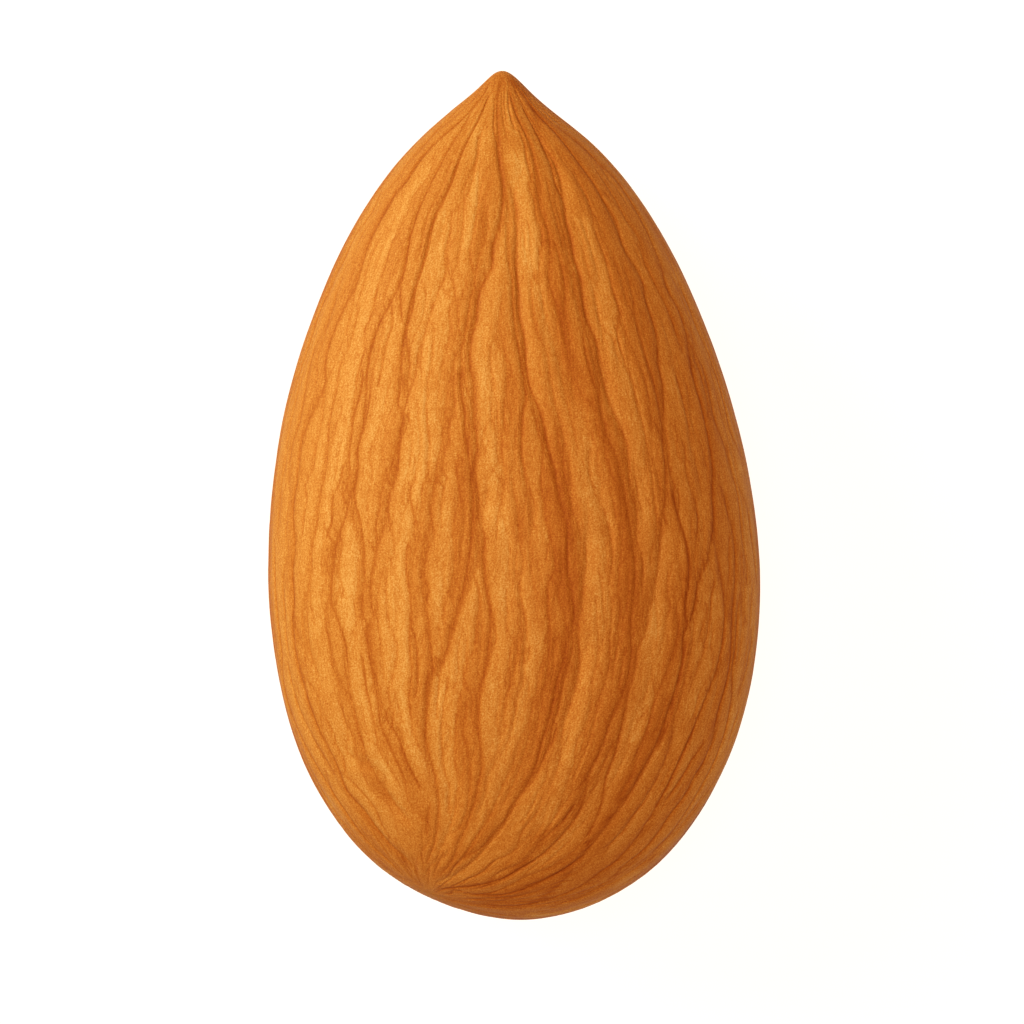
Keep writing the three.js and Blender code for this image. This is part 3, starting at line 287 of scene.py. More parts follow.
    ([(2.15, -4.01), (2.08, -4.44), (1.86, -4.82), (1.76, -5.36), (1.45, -6.47), (1.4, -6.76), (1.57, -6.98), (1.52, -7.17), (1.26, -7.76), (1.03, -8.36), (0.72, -8.93), (0.57, -9.56), (0.38, -9.86), (0.05, -10.08), (-0.05, -10.37), (-0.18, -10.56), (-0.77, -10.73), (-1.15, -10.95), (-1.47, -11.26), (-1.66, -11.25), (-1.91, -11.28), (-2.1, -11.34)], 0.38, 0.56, [(0.033, 0.02, -0.02, -0.01), (0.007, 0.02, 0.02, -0), (0.005, 0.01, -0.1, -0.1)]),
    ([(-0.1, 8.96), (0.05, 8.29), (0.06, 6.46), (0.12, 5.9), (0.13, 5.34), (0.19, 4.94), (0.3, 4.54), (0.3, 4.12), (0.33, 3.71), (0.43, 3.21), (0.81, 2.09), (0.9, 1.49), (1.1, 0.93), (1.31, -0.15), (1.48, -0.67), (1.54, -1.08), (1.51, -1.49), (1.55, -2.22), (1.66, -2.91), (1.71, -3.61), (1.52, -4.15), (1.42, -4.71), (1.24, -5.24), (1.12, -5.93), (0.98, -6.51), (0.78, -7.09), (0.69, -7.52), (0.5, -8.03), (0.24, -8.5), (-0.07, -8.93), (-0.31, -9.42), (-0.61, -9.73), (-0.88, -10.07), (-1.45, -10.4), (-1.73, -10.68), (-1.95, -11), (-2.27, -11.15)], 0.38, 0.38, [(0.029, 0.15, 0.02, -0.05), (0.017, 0.13, 0.03, 0), (0.005, 0.15, -0.1, -0.12), (0.005, 0.17, -0.03, -0.05), (0.005, 0.08, -0.02, 0.05)]),
    ([(0.28, 7.87), (0.28, 7.68), (0.39, 6.86), (0.54, 6.6), (0.49, 5.98), (0.51, 5.3)], 0.26, 0.56, [(0.005, 0.08, 0.1, 0.05)]),
    ([(0.36, 8.01), (0.44, 7.56), (0.47, 7.12), (0.41, 6.73), (0.39, 6.33)], 0.26, 0.26, [(0.005, 0.09, 0.11, 0.02)]),
    ([(1.68, -10.67), (1.25, -11.23), (0.62, -11.68), (-0.1, -11.81), (-1.27, -11.73)], 0.38, 0.18, [(0.006, 0.13, -0.15, -0.07), (0.005, 0.04, -0.03, -0.03)]),
    ([(-0.17, 11.85), (-0.16, 11.34), (-0.08, 10.84), (0.04, 10.55), (0.38, 10.29), (0.53, 9.86), (0.6, 9.52), (0.74, 9.02), (0.79, 8.1), (1.03, 7.62), (1.17, 7.51)], 0.56, 0.56, [(0.005, 0.15, 0.16, 0.07), (0.026, 0.08, -0.02, -0.03)]),
    ([(0.8, 1.1), (0.8, 0.87), (0.76, 0.4), (0.82, -0.08), (0.91, -0.75), (1.08, -1.4), (1.18, -2.08), (1.19, -2.22), (1.03, -2.39), (0.96, -2.98), (0.97, -3.43), (1.02, -3.88), (0.99, -4.53), (0.83, -5.56), (0.57, -6.02), (0.37, -6.61), (0.12, -7.17), (-0.07, -7.77), (-0.3, -8.25), (-0.72, -9.23), (-1.07, -9.75), (-1.39, -10.29)], 0.56, 0.38, [(0.005, 0.11, 0.05, -0.12), (0.005, 0.15, 0, -0.11), (0.005, 0.05, 0.03, -0.02), (0.005, 0.1, 0.13, 0.04)]),
    ([(0.93, -7.59), (0.93, -8.12), (0.7, -8.5), (0.52, -8.9), (0.12, -9.4), (-0.2, -9.53)], 0.56, 0.08, [(0.005, 0.09, 0.06, 0.07)]),
    ([(0.15, 10.4), (0.26, 10.21), (0.35, 9.68), (0.48, 9.15), (0.42, 8.85), (0.59, 8.49), (0.6, 8.05), (0.77, 7.64), (0.73, 7.15), (0.74, 6.63), (0.66, 6.32), (0.79, 6.14)], 0.56, 0.26, [(0.005, 0.14, 0.06, -0.05), (0.005, 0.04, 0.17, 0.14)]),
    ([(0.44, -1.41), (0.55, -2.57), (0.75, -3.28)], 0.38, 0.26, [(0.005, 0.07, 0.06, -0.01)]),
    ([(1.8, -3.82), (1.8, -3.93), (1.88, -4.45), (1.88, -4.93), (1.6, -6.03), (1.42, -6.56), (1.29, -7.64), (1.11, -8.09), (0.91, -8.25), (0.81, -8.65), (0.67, -9.05), (0.22, -9.63), (-0.04, -10.24), (-0.53, -10.46), (-0.91, -10.82), (-1.45, -11.1), (-1.55, -11.23)], 0.56, 0.56, [(0.088, 0.14, 0.03, 0.06), (0.005, 0.06, 0.07, 0.04), (0.005, 0.15, 0.1, 0.1)]),
    ([(1.34, -1.34), (1.52, -1.62), (1.55, -2.32), (1.68, -3.12), (1.72, -3.66), (1.61, -3.82), (1.67, -4.08), (1.63, -4.59), (1.46, -5.15), (1.22, -6.27), (1.07, -6.66), (1.03, -7.07), (0.9, -7.4), (0.52, -8.18), (0.05, -8.76), (-0.03, -8.97), (-0.68, -9.95), (-1.02, -10.35), (-1.88, -10.99), (-2.35, -11.18)], 0.38, 0.56, [(0.025, 0, -0.06, -0.05), (0.01, 0.16, 0, -0.03), (0.053, 0, 0.04, 0.07)]),
    ([(0.5, 2.51), (0.62, 2.09), (0.71, 1.67), (0.85, 1.26), (0.7, 1.08)], 0.56, 0.32, [(0.005, 0.12, 0.07, -0.04)]),
    ([(0.96, -3.48), (0.98, -3.67), (1.03, -3.84), (0.87, -4.03), (0.93, -4.34), (0.74, -4.97), (0.67, -5.48), (0.56, -5.86), (0.33, -6.02), (0.29, -6.23), (0.24, -6.29)], 0.56, 0.38, [(0.005, 0.09, 0.14, -0.04), (0.008, 0.08, -0.07, -0.05)]),
    ([(1.29, -3.72), (1.27, -3.95), (1.14, -4.32), (1.13, -5.01), (1.03, -5.43), (0.87, -5.7), (0.5, -7.39), (0.28, -7.77), (0.27, -8.08), (0.08, -8.41), (-0.01, -8.66)], 0.56, 0.56, [(0.029, 0.09, -0.01, -0.01), (0.005, 0, -0.01, -0.03)]),
    ([(0.74, 4.2), (0.73, 3.71), (0.77, 3.21)], 0.56, 0.18, [(0.005, 0.05, 0.05, 0.05)]),
    ([(0.97, 0.24), (1, 0.02), (0.85, -0.27), (1.02, -1.3), (0.92, -1.68), (0.94, -1.92)], 0.56, 0.08, [(0.005, 0.13, 0.05, 0.04)]),
    ([(0.73, 7.89), (0.79, 7.2), (0.74, 7.02), (0.72, 6.54), (0.48, 6.07), (0.49, 5.67), (0.61, 4.81), (0.93, 3.96), (1.13, 2.76), (1.43, 1.58), (1.4, 0.97), (1.51, 0.23), (1.64, -0.27), (1.62, -0.62), (1.47, -0.79)], 0.56, 0.32, [(0.005, 0.21, -0.01, -0.12), (0.005, 0.05, -0.01, -0.07), (0.024, 0.1, -0.07, -0.07)]),
    ([(1.26, -6.53), (1.08, -7.02), (0.86, -7.49)], 0.08, 0.18, [(0.005, 0.21, -0.06, -0.18)]),
    ([(3.02, -8.92), (2.07, -10.21), (1.77, -10.52), (0.88, -11.04), (0.43, -11.2), (-0.01, -11.38), (-0.23, -11.32)], 0.38, 0.32, [(0.036, 0, -0.23, -0.05), (0.005, 0.13, -0.11, -0.06)]),
    ([(1.54, -10.89), (1.26, -11.23), (0.72, -11.6)], 0.56, 0.56, [(0.019, 0.07, -0.07, 0.03)]),
    ([(0.95, 9.12), (1.06, 8.5), (1.22, 7.89), (1.39, 7.05), (1.39, 6.89)], 0.18, 0.56, [(0.005, 0.06, -0.04, -0.06)]),
    ([(0.98, 7.53), (1.02, 6.76), (0.97, 6.39), (1.03, 6), (0.96, 5.65), (1.2, 5.35), (1.2, 4.65), (1.32, 4.21), (1.38, 3.75), (1.64, 3.2), (1.75, 2.78), (1.81, 2.35)], 0.56, 0.56, [(0.005, 0.04, 0.04, -0.06), (0.065, 0.02, -0.01, -0.02)]),
    ([(1.29, -1.41), (1.39, -2.19), (1.26, -2.94), (1.46, -3.42), (1.43, -4.14), (1.34, -4.39), (1.43, -4.64), (1.22, -5.36), (1.17, -5.75), (0.9, -6.2)], 0.32, 0.26, [(0.016, 0.04, -0.02, 0.02), (0.005, 0.1, -0.01, -0.13)]),
    ([(1.9, -8.48), (1.79, -8.96), (0.81, -9.94), (0.68, -10.36)], 0.32, 0.32, [(0.005, 0.09, -0.06, -0.06)]),
    ([(1.17, -2.3), (1.29, -3.07), (1.43, -3.61)], 0.08, 0.56, [(0.005, 0.03, -0.07, -0.12)]),
    ([(0.62, 6.27), (0.77, 5.87), (0.86, 5.23), (1.27, 3.86), (1.36, 3.33), (1.61, 2.22), (1.91, 1.07), (2.01, 0.82)], 0.38, 0.38, [(0.039, 0.05, 0.06, 0.05), (0.005, 0.05, 0.05, -0.04)]),
    ([(0.62, 6.31), (0.58, 6.09), (0.7, 5.89), (0.61, 5.68), (0.66, 5.25), (0.9, 4.59), (0.92, 3.99), (1.07, 3.05), (1.59, 0.77), (1.63, 0.16), (1.62, -0.01), (1.67, -0.35), (1.85, -0.97), (1.9, -1.57), (1.72, -1.93), (1.74, -2.36), (1.86, -2.54), (1.83, -3.12)], 0.26, 0.38, [(0.005, 0, 0.11, 0.06), (0.034, 0.06, 0.08, 0.06), (0.005, 0.06, 0.01, -0.04)]),
    ([(0.94, 2.28), (1.11, 2.17), (1.18, 1.95), (1.3, 1.31), (1.45, 0.68), (1.48, 0.37), (1.27, 0.09), (1.46, -0.56), (1.5, -0.85), (1.68, -1.18), (1.61, -1.74)], 0.56, 0.32, [(0.005, 0.09, 0.02, -0.09), (0.009, 0.07, -0.1, -0.08)]),
    ([(1.16, 7.29), (1.35, 6.57), (1.42, 6.19), (1.47, 5.67), (1.42, 5.15)], 0.56, 0.26, [(0.005, 0.13, 0.05, -0.01)]),
    ([(0.37, 11.06), (0.53, 10.65), (0.6, 10.21), (0.9, 9.83), (1.15, 9.12), (1.19, 8.48), (1.51, 7.23), (1.57, 6.8), (1.45, 6.26), (1.45, 5.18), (1.6, 4.47), (1.6, 4.15), (1.71, 3.91), (2.12, 3.2), (2.24, 2.88), (2.24, 2.76)], 0.38, 0.32, [(0.005, 0, 0.1, 0.03), (0.005, 0.05, -0.12, -0.17), (0.027, 0.04, -0.04, -0.03)]),
    ([(1.89, -8.64), (1.78, -8.77), (1.35, -9.37), (0.97, -9.66)], 0.26, 0.26, [(0.005, 0.23, -0.02, 0.09)]),
    ([(3.23, -5.69), (3, -6.97), (2.85, -7.51), (2.65, -8.04), (2.5, -8.85), (2.33, -9.34), (2.11, -9.81), (2.12, -10.06), (2.08, -10.19), (1.79, -10.49), (0.99, -10.98), (0.01, -11.4), (-0.45, -11.49), (-0.94, -11.48), (-1.44, -11.42)], 0.56, 0.56, [(0.017, 0.16, -0.01, 0.02), (0.005, 0.22, 0.1, 0.07), (0.005, 0.11, -0.17, -0.14)]),
    ([(3.98, -2.97), (3.88, -3.18), (3.83, -3.7), (3.52, -4.43), (3.47, -4.99), (3.33, -5.38), (3.23, -5.79), (3.23, -6.01), (3.16, -6.51), (2.63, -7.51), (2.45, -7.96), (2.09, -8.34), (2, -8.59), (2, -8.83), (1.78, -9.16), (1.64, -9.51), (1.27, -10.05), (0.8, -10.3), (0.68, -10.55), (0.34, -10.83), (0.23, -10.97), (-0.21, -11.25), (-0.87, -11.46), (-1.17, -11.47), (-1.69, -11.35), (-2.01, -11.43), (-2.3, -11.35)], 0.38, 0.38, [(0.009, 0.12, 0.05, 0.09), (0.005, 0.09, -0.08, -0.02), (0.005, 0.08, 0.16, 0.07), (0.013, 0.13, -0.13, -0.07)]),
    ([(-0.16, 11.78), (0.14, 10.78), (0.38, 10.28), (0.55, 9.76), (0.67, 8.7), (0.76, 8.17), (0.99, 7.52), (1.02, 6.87), (0.99, 6.21), (1.36, 5.01), (1.48, 4.29), (1.65, 3.57), (2, 2.81), (2.51, 2.3), (2.64, 1.71), (2.89, 1.2), (3.27, -0.63), (3.37, -1.27), (3.46, -2.17), (3.45, -2.65), (3.33, -3.73), (3.35, -4.29), (3.33, -4.84), (3.18, -5.45), (2.89, -6.08), (2.44, -7.36), (2.14, -7.97), (2.04, -8.48), (1.91, -8.99), (1.45, -9.67), (0.73, -10.37), (0.18, -10.72), (-0.39, -11.03), (-0.92, -11.18), (-2.25, -11.36)], 0.38, 0.32, [(0.008, 0.09, -0.14, -0.16), (0.005, 0.1, -0.06, -0.1), (0.005, 0.06, -0.07, -0.05), (0.007, 0.15, -0.05, 0), (0.015, 0.16, -0.15, -0.01)]),
    ([(2.63, -5.52), (2.41, -6.07), (2.09, -7.13), (1.66, -8.22), (1.58, -8.66), (1.43, -8.8), (1.14, -9.28), (0.9, -9.62), (0.81, -9.82)], 0.56, 0.12, [(0.007, 0.05, -0.07, -0.04), (0.005, 0.11, 0.13, 0.08)]),
    ([(2.22, -9.05), (2.19, -9.18), (2.04, -9.38), (1.86, -9.5), (1.5, -9.96), (1.1, -10.39), (0.6, -10.74)], 0.26, 0.38, [(0.005, 0.06, 0.07, 0.04)]),
    ([(2.22, -5.52), (2.19, -5.93), (2.01, -6.64), (1.8, -7.01), (1.74, -7.29), (1.74, -7.63), (1.32, -7.92)], 0.56, 0.32, [(0.005, 0.08, 0.07, 0.03)]),
    ([(0.39, 11.39), (0.74, 11.2), (1.29, 10.72), (1.74, 10.44), (2.32, 9.99), (3.1, 9.05), (3.8, 8.11)], 0.56, 0.56, [(0.083, 0.06, -0.06, -0.01), (0.005, 0, 0.12, 0.09)]),
    ([(2.07, 2.65), (2, 2.14), (1.79, 1.71)], 0.38, 0.56, [(0.005, 0.05, 0.07, 0.03)]),
    ([(2.04, 0.4), (1.94, 0.19), (2.04, -0.23), (2.07, -1.06), (1.9, -1.35), (1.97, -2.51), (1.94, -3.09), (1.85, -3.46)], 0.26, 0.56, [(0.008, 0.01, 0.11, 0.15), (0.005, 0.11, 0.03, -0.03)]),
    ([(2.19, -0.79), (2.07, -1.22), (2.06, -1.9), (1.96, -2.58), (1.93, -3.25), (1.86, -3.44), (1.81, -3.74), (1.89, -4.56)], 0.32, 0.56, [(0.083, 0.05, 0.02, 0.07), (0.005, 0.1, 0.06, 0.01)]),
    ([(3.74, -10.81), (3.41, -11.01), (3.21, -11.09), (2.72, -11.52), (1.92, -11.87), (0.63, -12.13), (0.28, -12.1), (0.06, -12.11)], 0.56, 0.56, [(0.005, 0.09, 0.12, 0.07), (0.005, 0.04, 0.22, 0.14)]),
    ([(1.66, 7.96), (1.96, 7.33), (2.01, 6.82), (2.12, 6.4), (2.27, 5.99)], 0.26, 0.18, [(0.005, 0.05, 0.05, -0.01)]),
    ([(1.22, 9.55), (1.41, 9.49), (1.83, 8.96), (1.88, 8.56), (2, 8.18), (2.32, 7.71), (2.35, 7.49), (2.32, 7.19), (2.5, 6.85), (2.44, 6.38)], 0.56, 0.56, [(0.005, 0.04, -0.01, 0), (0.005, 0.01, -0, -0.04)]),
    ([(-0.18, 12.11), (0.24, 11.59), (0.59, 11.01), (0.82, 10.13), (1.14, 9.63), (1.45, 8.36), (1.5, 7.86), (1.64, 7.37), (1.71, 6.86), (1.93, 6.15), (1.98, 5.68), (2.12, 4.9), (2.29, 4.59), (2.41, 4.23), (2.44, 3.79), (2.65, 3.49), (2.62, 3.13), (2.99, 2.03), (3.18, 1.62), (3.24, 1.16), (3.54, 0.76), (3.72, 0.31), (3.68, 0.04)], 0.56, 0.56, [(0.005, 0.03, -0.21, -0.26), (0.076, 0.12, 0.18, 0.13), (0.022, 0.13, 0.06, 0.03), (0.035, 0.01, 0.02, 0.01)]),
    ([(0.22, 11.25), (0.83, 10.07), (1.08, 9.46), (1.19, 8.97), (1.42, 8.52), (1.48, 7.96), (1.63, 7.41), (1.71, 6.86), (1.92, 6.19), (1.98, 5.63), (2.08, 5.08), (2.39, 4.28), (2.44, 3.86), (2.71, 2.77), (3.23, 1.42), (3.32, 0.34), (3.49, -0.17), (3.51, -0.74), (3.47, -0.94)], 0.38, 0.56, [(0.049, 0.13, -0.05, -0.05), (0.005, 0.17, 0, -0.13), (0.063, 0.13, 0.05, 0.04), (0.014, 0.12, 0.04, 0.07)]),
    ([(2.21, 1.9), (2.2, 1.44), (2.14, 0.99), (2.15, 0.64), (2.34, 0.02), (2.62, -0.57), (2.79, -2.03), (2.7, -2.46), (2.78, -3.07), (2.78, -3.67), (2.72, -4.1), (2.74, -4.71), (2.46, -5.67), (2.27, -6.13), (2.06, -6.48), (1.99, -7.09), (1.74, -7.63), (1.51, -8.27), (1.32, -8.91), (0.85, -9.74), (0.22, -10.61)], 0.56, 0.38, [(0.005, 0.13, 0.15, 0.11), (0.005, 0.11, 0.01, 0.05), (0.005, 0.08, 0.07, 0.01), (0.013, 0.08, -0.01, 0.04)]),
    ([(2.95, -9.32), (2.61, -9.79), (2.47, -10.11), (1.8, -10.85), (1.66, -11.05), (1.48, -11.15)], 0.56, 0.08, [(0.005, 0.06, -0.03, -0.06)]),
    ([(1.94, 4.72), (2.07, 3.96), (2.22, 3.37), (2.42, 2.8), (2.5, 2.41)], 0.12, 0.32, [(0.005, 0.12, -0.07, -0.08)]),
    ([(1.95, 8.25), (1.92, 8.11), (1.97, 7.81), (2.28, 6.85), (2.39, 6.36), (2.33, 5.72), (2.56, 4.47), (2.65, 3.84)], 0.38, 0.56, [(0.005, 0.06, 0.15, 0.09), (0.028, 0.02, -0.01, 0)]),
    ([(2.32, -2.92), (2.36, -4.78), (2.21, -5.5), (2.29, -5.81)], 0.56, 0.38, [(0.005, 0.07, 0.1, 0.08)]),
    ([(2.59, -7.92), (2.04, -8.74)], 0.56, 0.56, [(0.014, 0.1, -0.01, 0.04)]),
    ([(2.08, 2.38), (2.07, 1.87), (2.19, 1.59), (2.2, 0.94), (2.28, 0.74), (2.48, 0.44), (2.45, -0.14), (2.65, -0.68), (2.81, -1.86)], 0.56, 0.38, [(0.005, 0.02, 0.06, -0.06), (0.06, 0.07, -0.01, 0.05)]),
    ([(1.61, 6.64), (1.7, 6.13), (1.7, 5.9), (1.84, 5.45), (1.91, 4.98), (2.12, 4.45), (2.28, 3.96), (2.34, 3.49), (2.45, 3.16), (2.46, 2.68), (2.59, 1.95), (2.76, 1.45), (2.96, 0.97), (3.11, 0.12), (3.2, -0.18), (3.48, -2)], 0.32, 0.56, [(0.005, 0.06, -0.04, -0.22), (0.028, 0.06, -0.04, -0.02), (0.008, 0.03, -0.1, -0.05)]),
    ([(2.39, -1.88), (2.55, -3.17), (2.53, -3.71)], 0.56, 0.32, [(0.005, 0.1, 0.1, 0.08)]),
    ([(2.42, -0.78), (2.56, -1.19), (2.65, -1.79), (2.64, -1.97), (2.58, -2.18), (2.71, -2.65), (2.68, -3.4), (2.6, -3.91), (2.45, -4.41), (2.4, -4.85), (2.55, -5.29), (2.32, -5.51)], 0.56, 0.12, [(0.005, 0.08, 0.17, 0.11), (0.005, 0.04, -0.05, -0.04)]),
    ([(1.16, 10.19), (1.23, 10.05), (1.36, 9.68), (1.65, 9.3), (2.2, 8.26), (2.31, 7.63), (2.53, 7.03), (2.71, 6.43), (2.84, 5.81), (3.03, 5.21), (2.94, 4.78), (3, 4.34), (3.27, 3.52), (3.86, 1.07), (3.96, 0.37), (4.03, -0.34), (4.08, -0.62)], 0.56, 0.26, [(0.005, 0.02, -0.05, -0.06), (0.005, 0.16, 0.15, 0.06), (0.008, 0.07, 0.03, 0.08)]),
    ([(2.32, 1.44), (2.36, 1.3), (2.42, 0.65), (2.64, 0.31), (2.8, -0.08), (2.9, -0.68), (3.09, -1.26), (3.02, -1.66), (2.95, -2.74)], 0.38, 0.32, [(0.005, 0.08, 0.05, 0.09), (0.005, 0.07, 0.03, -0.06)]),
    ([(3.22, -3.85), (3.35, -4.1), (3.37, -4.6), (3.09, -5.84), (2.8, -6.37), (2.57, -7.03), (2.31, -7.62), (2.09, -8.05), (1.79, -8.42)], 0.26, 0.26, [(0.005, 0, -0.02, -0.09), (0.005, 0.16, -0.03, 0.04)]),
    ([(2.69, 1.17), (2.7, 0.92), (2.87, 0.23)], 0.56, 0.08, [(0.005, 0.15, 0.05, -0)]),
    ([(2.23, 2.53), (2.32, 2.3), (2.36, 1.83), (2.58, 1.52), (2.58, 0.97), (2.63, 0.75), (2.77, 0.56), (3.1, -0.61), (3.09, -1.26), (3.26, -2.17), (3.27, -2.56), (3.23, -2.95), (2.95, -4.31), (2.82, -4.99), (2.8, -5.2)], 0.38, 0.38, [(0.005, 0.06, 0.01, -0.02), (0.006, 0, -0.12, -0.07), (0.013, 0.1, -0, -0.03)]),
    ([(2.79, -2.05), (2.75, -2.33), (2.93, -2.75), (2.84, -2.92), (2.82, -3.45), (2.73, -4.04)], 0.32, 0.38, [(0.005, 0.03, 0.02, -0.07)]),
    ([(1.37, 10.02), (1.43, 9.75), (1.74, 9.37), (1.89, 8.92), (2.21, 8.28), (2.49, 7.63), (2.52, 7.13), (2.69, 6.61), (2.97, 6.42), (3.11, 5.96), (3.2, 5.59), (3.42, 5.17), (3.75, 3.96), (3.95, 3.37), (4.1, 2.76), (4.19, 2.07)], 0.38, 0.56, [(0.03, 0, -0.04, -0.06), (0.005, 0.03, -0.02, -0.04), (0.005, 0.18, -0.03, -0.04)]),
    ([(4.56, -5.35), (4.47, -5.52), (4.28, -6.09), (4.22, -6.34), (3.62, -7.33), (3.44, -7.7), (3.34, -8.07), (3.22, -8.24), (3.05, -8.62), (2.64, -9.28), (2.37, -9.32), (2.09, -9.83), (1.77, -10.12), (1.5, -10.46), (0.96, -10.73), (0.34, -10.91)], 0.38, 0.56, [(0.005, 0, -0.1, -0.12), (0.005, 0.1, -0.09, -0.07), (0.005, 0.02, 0, 0.02)]),
    ([(2.71, 7.15), (2.82, 6.87), (3.21, 5.73)], 0.08, 0.56, [(0.005, 0.02, -0.05, -0.02)]),
    ([(3.04, -2.76), (3.01, -3.46), (2.94, -3.86), (2.79, -4.25)], 0.56, 0.56, [(0.005, 0.13, 0.11, 0.09)]),
    ([(3.26, -7.29), (2.72, -8.37)], 0.38, 0.32, [(0.011, 0.07, 0.11, 0.11)]),
    ([(2.43, 6.29), (2.44, 6.11), (2.34, 5.94), (2.37, 5.5), (2.56, 4.82), (2.81, 4.52), (2.96, 3.97), (3.29, 3.49), (3.5, 2.52), (3.76, 1.54), (3.74, 1.1), (3.88, 0.42)], 0.56, 0.56, [(0.053, 0.08, 0.05, 0.03), (0.005, 0.13, 0.04, 0.06), (0.005, 0.08, 0.07, 0.02)]),
    ([(3.23, -4.15), (3.18, -4.29), (3.07, -4.97), (2.9, -5.81)], 0.32, 0.56, [(0.005, 0.11, 0.03, -0.01)]),
    ([(2.66, 8.77), (2.57, 8.49), (2.8, 8.16), (3.18, 7.1), (3.7, 6.15), (3.78, 5.81)], 0.08, 0.56, [(0.005, 0.19, 0.04, 0.01), (0.005, 0.16, 0.04, 0.02)]),
    ([(2.69, 2.34), (2.83, 1.87), (3.01, 1.72), (3.12, 1.01), (3.3, 0.52), (3.35, -0), (3.42, -0.26), (3.43, -0.61)], 0.08, 0.32, [(0.005, 0.03, -0.04, -0.05), (0.005, 0.06, -0.06, -0.12)]),
    ([(4.92, -8.23), (4.58, -8.68), (4.33, -8.76), (3.91, -9.47), (3.5, -9.94), (2.61, -10.86), (2.29, -11.15), (1.58, -11.66), (1.29, -11.76)], 0.32, 0.26, [(0.005, 0.08, 0.03, -0.05), (0.006, 0.07, -0.05, -0.01)]),
    ([(2.83, 6.46), (2.9, 5.86), (3.24, 4.29), (3.29, 3.77), (3.53, 3.3), (3.59, 2.65)], 0.26, 0.18, [(0.005, 0, -0.07, -0.09), (0.008, 0.04, -0, 0.01)]),
    ([(0.34, 11.36), (0.62, 11.03), (1.29, 10.32), (1.62, 9.89), (2.33, 8.91), (2.62, 8.38), (2.95, 7.72), (3.2, 7.03), (3.46, 6.63), (3.69, 6.2), (3.77, 5.7), (4.06, 4.73), (4.16, 3.7), (4.27, 3.19), (4.29, 2.69), (4.26, 1.67), (4.34, 0.64), (4.32, -0.07), (4.21, -0.78), (4.19, -1.43), (4.01, -2.72), (3.86, -3.33), (3.75, -3.95), (3.49, -4.42)], 0.38, 0.56, [(0.005, 0.11, -0.17, -0.18), (0.035, 0.08, -0.05, -0.02), (0.03, 0.21, -0.02, 0.01), (0.005, 0.16, -0.03, 0), (0.022, 0.1, 0.06, 0.08)]),
    ([(4.13, -8.19), (4, -8.32), (3.75, -8.78), (3.42, -9.18), (3.14, -9.62), (2.77, -10), (2.57, -10.28)], 0.08, 0.56, [(0.005, 0.2, 0.1, 0.05)]),
    ([(5.78, -1.32), (6.04, -3.16), (6.05, -3.37), (6.01, -3.99), (5.91, -4.62), (5.48, -5.88), (4.92, -7.21), (4.29, -8.57), (3.94, -9.21), (3.25, -10.2), (2.81, -10.62), (2.42, -10.86), (2.06, -11.14), (1.03, -11.6), (0.06, -11.81), (-0.5, -11.8), (-1.23, -11.72)], 0.56, 0.56, [(0.005, 0.07, -0.03, 0.04), (0.005, 0.34, 0.01, 0.08), (0.005, 0.19, -0.07, 0.01), (0.005, 0.15, -0.02, -0.02)]),
    ([(2.77, 8.5), (3.1, 8.15), (3.3, 7.78), (3.55, 7.43), (3.59, 6.81), (3.72, 6.67), (3.91, 6.33), (3.86, 6.15)], 0.56, 0.08, [(0.005, 0.08, 0.02, 0.02)]),
    ([(3.16, 6.83), (3.16, 6.71), (3.39, 5.72), (3.44, 5.17), (3.72, 4.08), (4.08, 2.83)], 0.12, 0.56, [(0.005, 0.04, 0, -0.04), (0.005, 0.13, -0.08, -0.03)]),
    ([(3.01, 8.43), (3.42, 8.05), (4.12, 6.52)], 0.56, 0.38, [(0.014, 0, -0.01, 0.01)]),
    ([(3.61, -2.02), (3.68, -2.29), (3.53, -3.27), (3.41, -3.47), (3.42, -4.31)], 0.56, 0.56, [(0.005, 0, -0.07, -0.09)]),
    ([(3.29, 0.94), (3.5, 0.41), (3.59, -0.19), (3.69, -0.4), (3.5, -0.85), (3.53, -1.33), (3.69, -1.8)], 0.56, 0.56, [(0.042, 0.09, 0.06, 0.06)]),
    ([(2.07, 9.93), (2.34, 9.66), (2.58, 9.35), (2.7, 9.12), (2.92, 8.9), (3.15, 8.53), (3.46, 8.23), (3.95, 7.31), (4.25, 6.54), (4.46, 6.38), (4.56, 6.23), (4.73, 5.88), (5.13, 4.82)], 0.08, 0.56, [(0.007, 0.07, 0.01, 0.04), (0.005, 0.08, 0.05, 0.07), (0.005, 0.08, -0, -0.01)]),
    ([(4.57, -6.58), (4.5, -7.1), (4.04, -8.23), (3.75, -8.74), (3.08, -9.68), (2.7, -10.1), (2.39, -10.57)], 0.26, 0.56, [(0.019, 0.1, -0.1, 0.07), (0.013, 0.08, -0.03, 0.07)]),
    ([(3.11, 4.78), (3.28, 4.38), (3.48, 3.99), (3.91, 2.19), (3.92, 1.71), (3.83, 1.6)], 0.26, 0.56, [(0.005, 0.1, 0.02, 0.04), (0.009, 0, -0.15, -0.04)]),
    ([(3.55, -1.43), (3.6, -1.57), (3.69, -2.12), (3.59, -2.91)], 0.26, 0.56, [(0.009, 0.16, 0.02, 0.05)]),
    ([(4.42, -6.47), (4.17, -7.12), (3.92, -7.45), (3.56, -8.09), (3.35, -8.52), (3.09, -8.93), (3.17, -9.04)], 0.38, 0.18, [(0.005, 0.16, -0.08, -0)]),
    ([(4.01, -4.92), (3.94, -5.06), (4.02, -5.53), (4.01, -5.94), (3.69, -6.28), (3.45, -6.66), (3.39, -6.83), (3.42, -6.94)], 0.38, 0.18, [(0.005, 0.14, 0.07, 0.04)]),
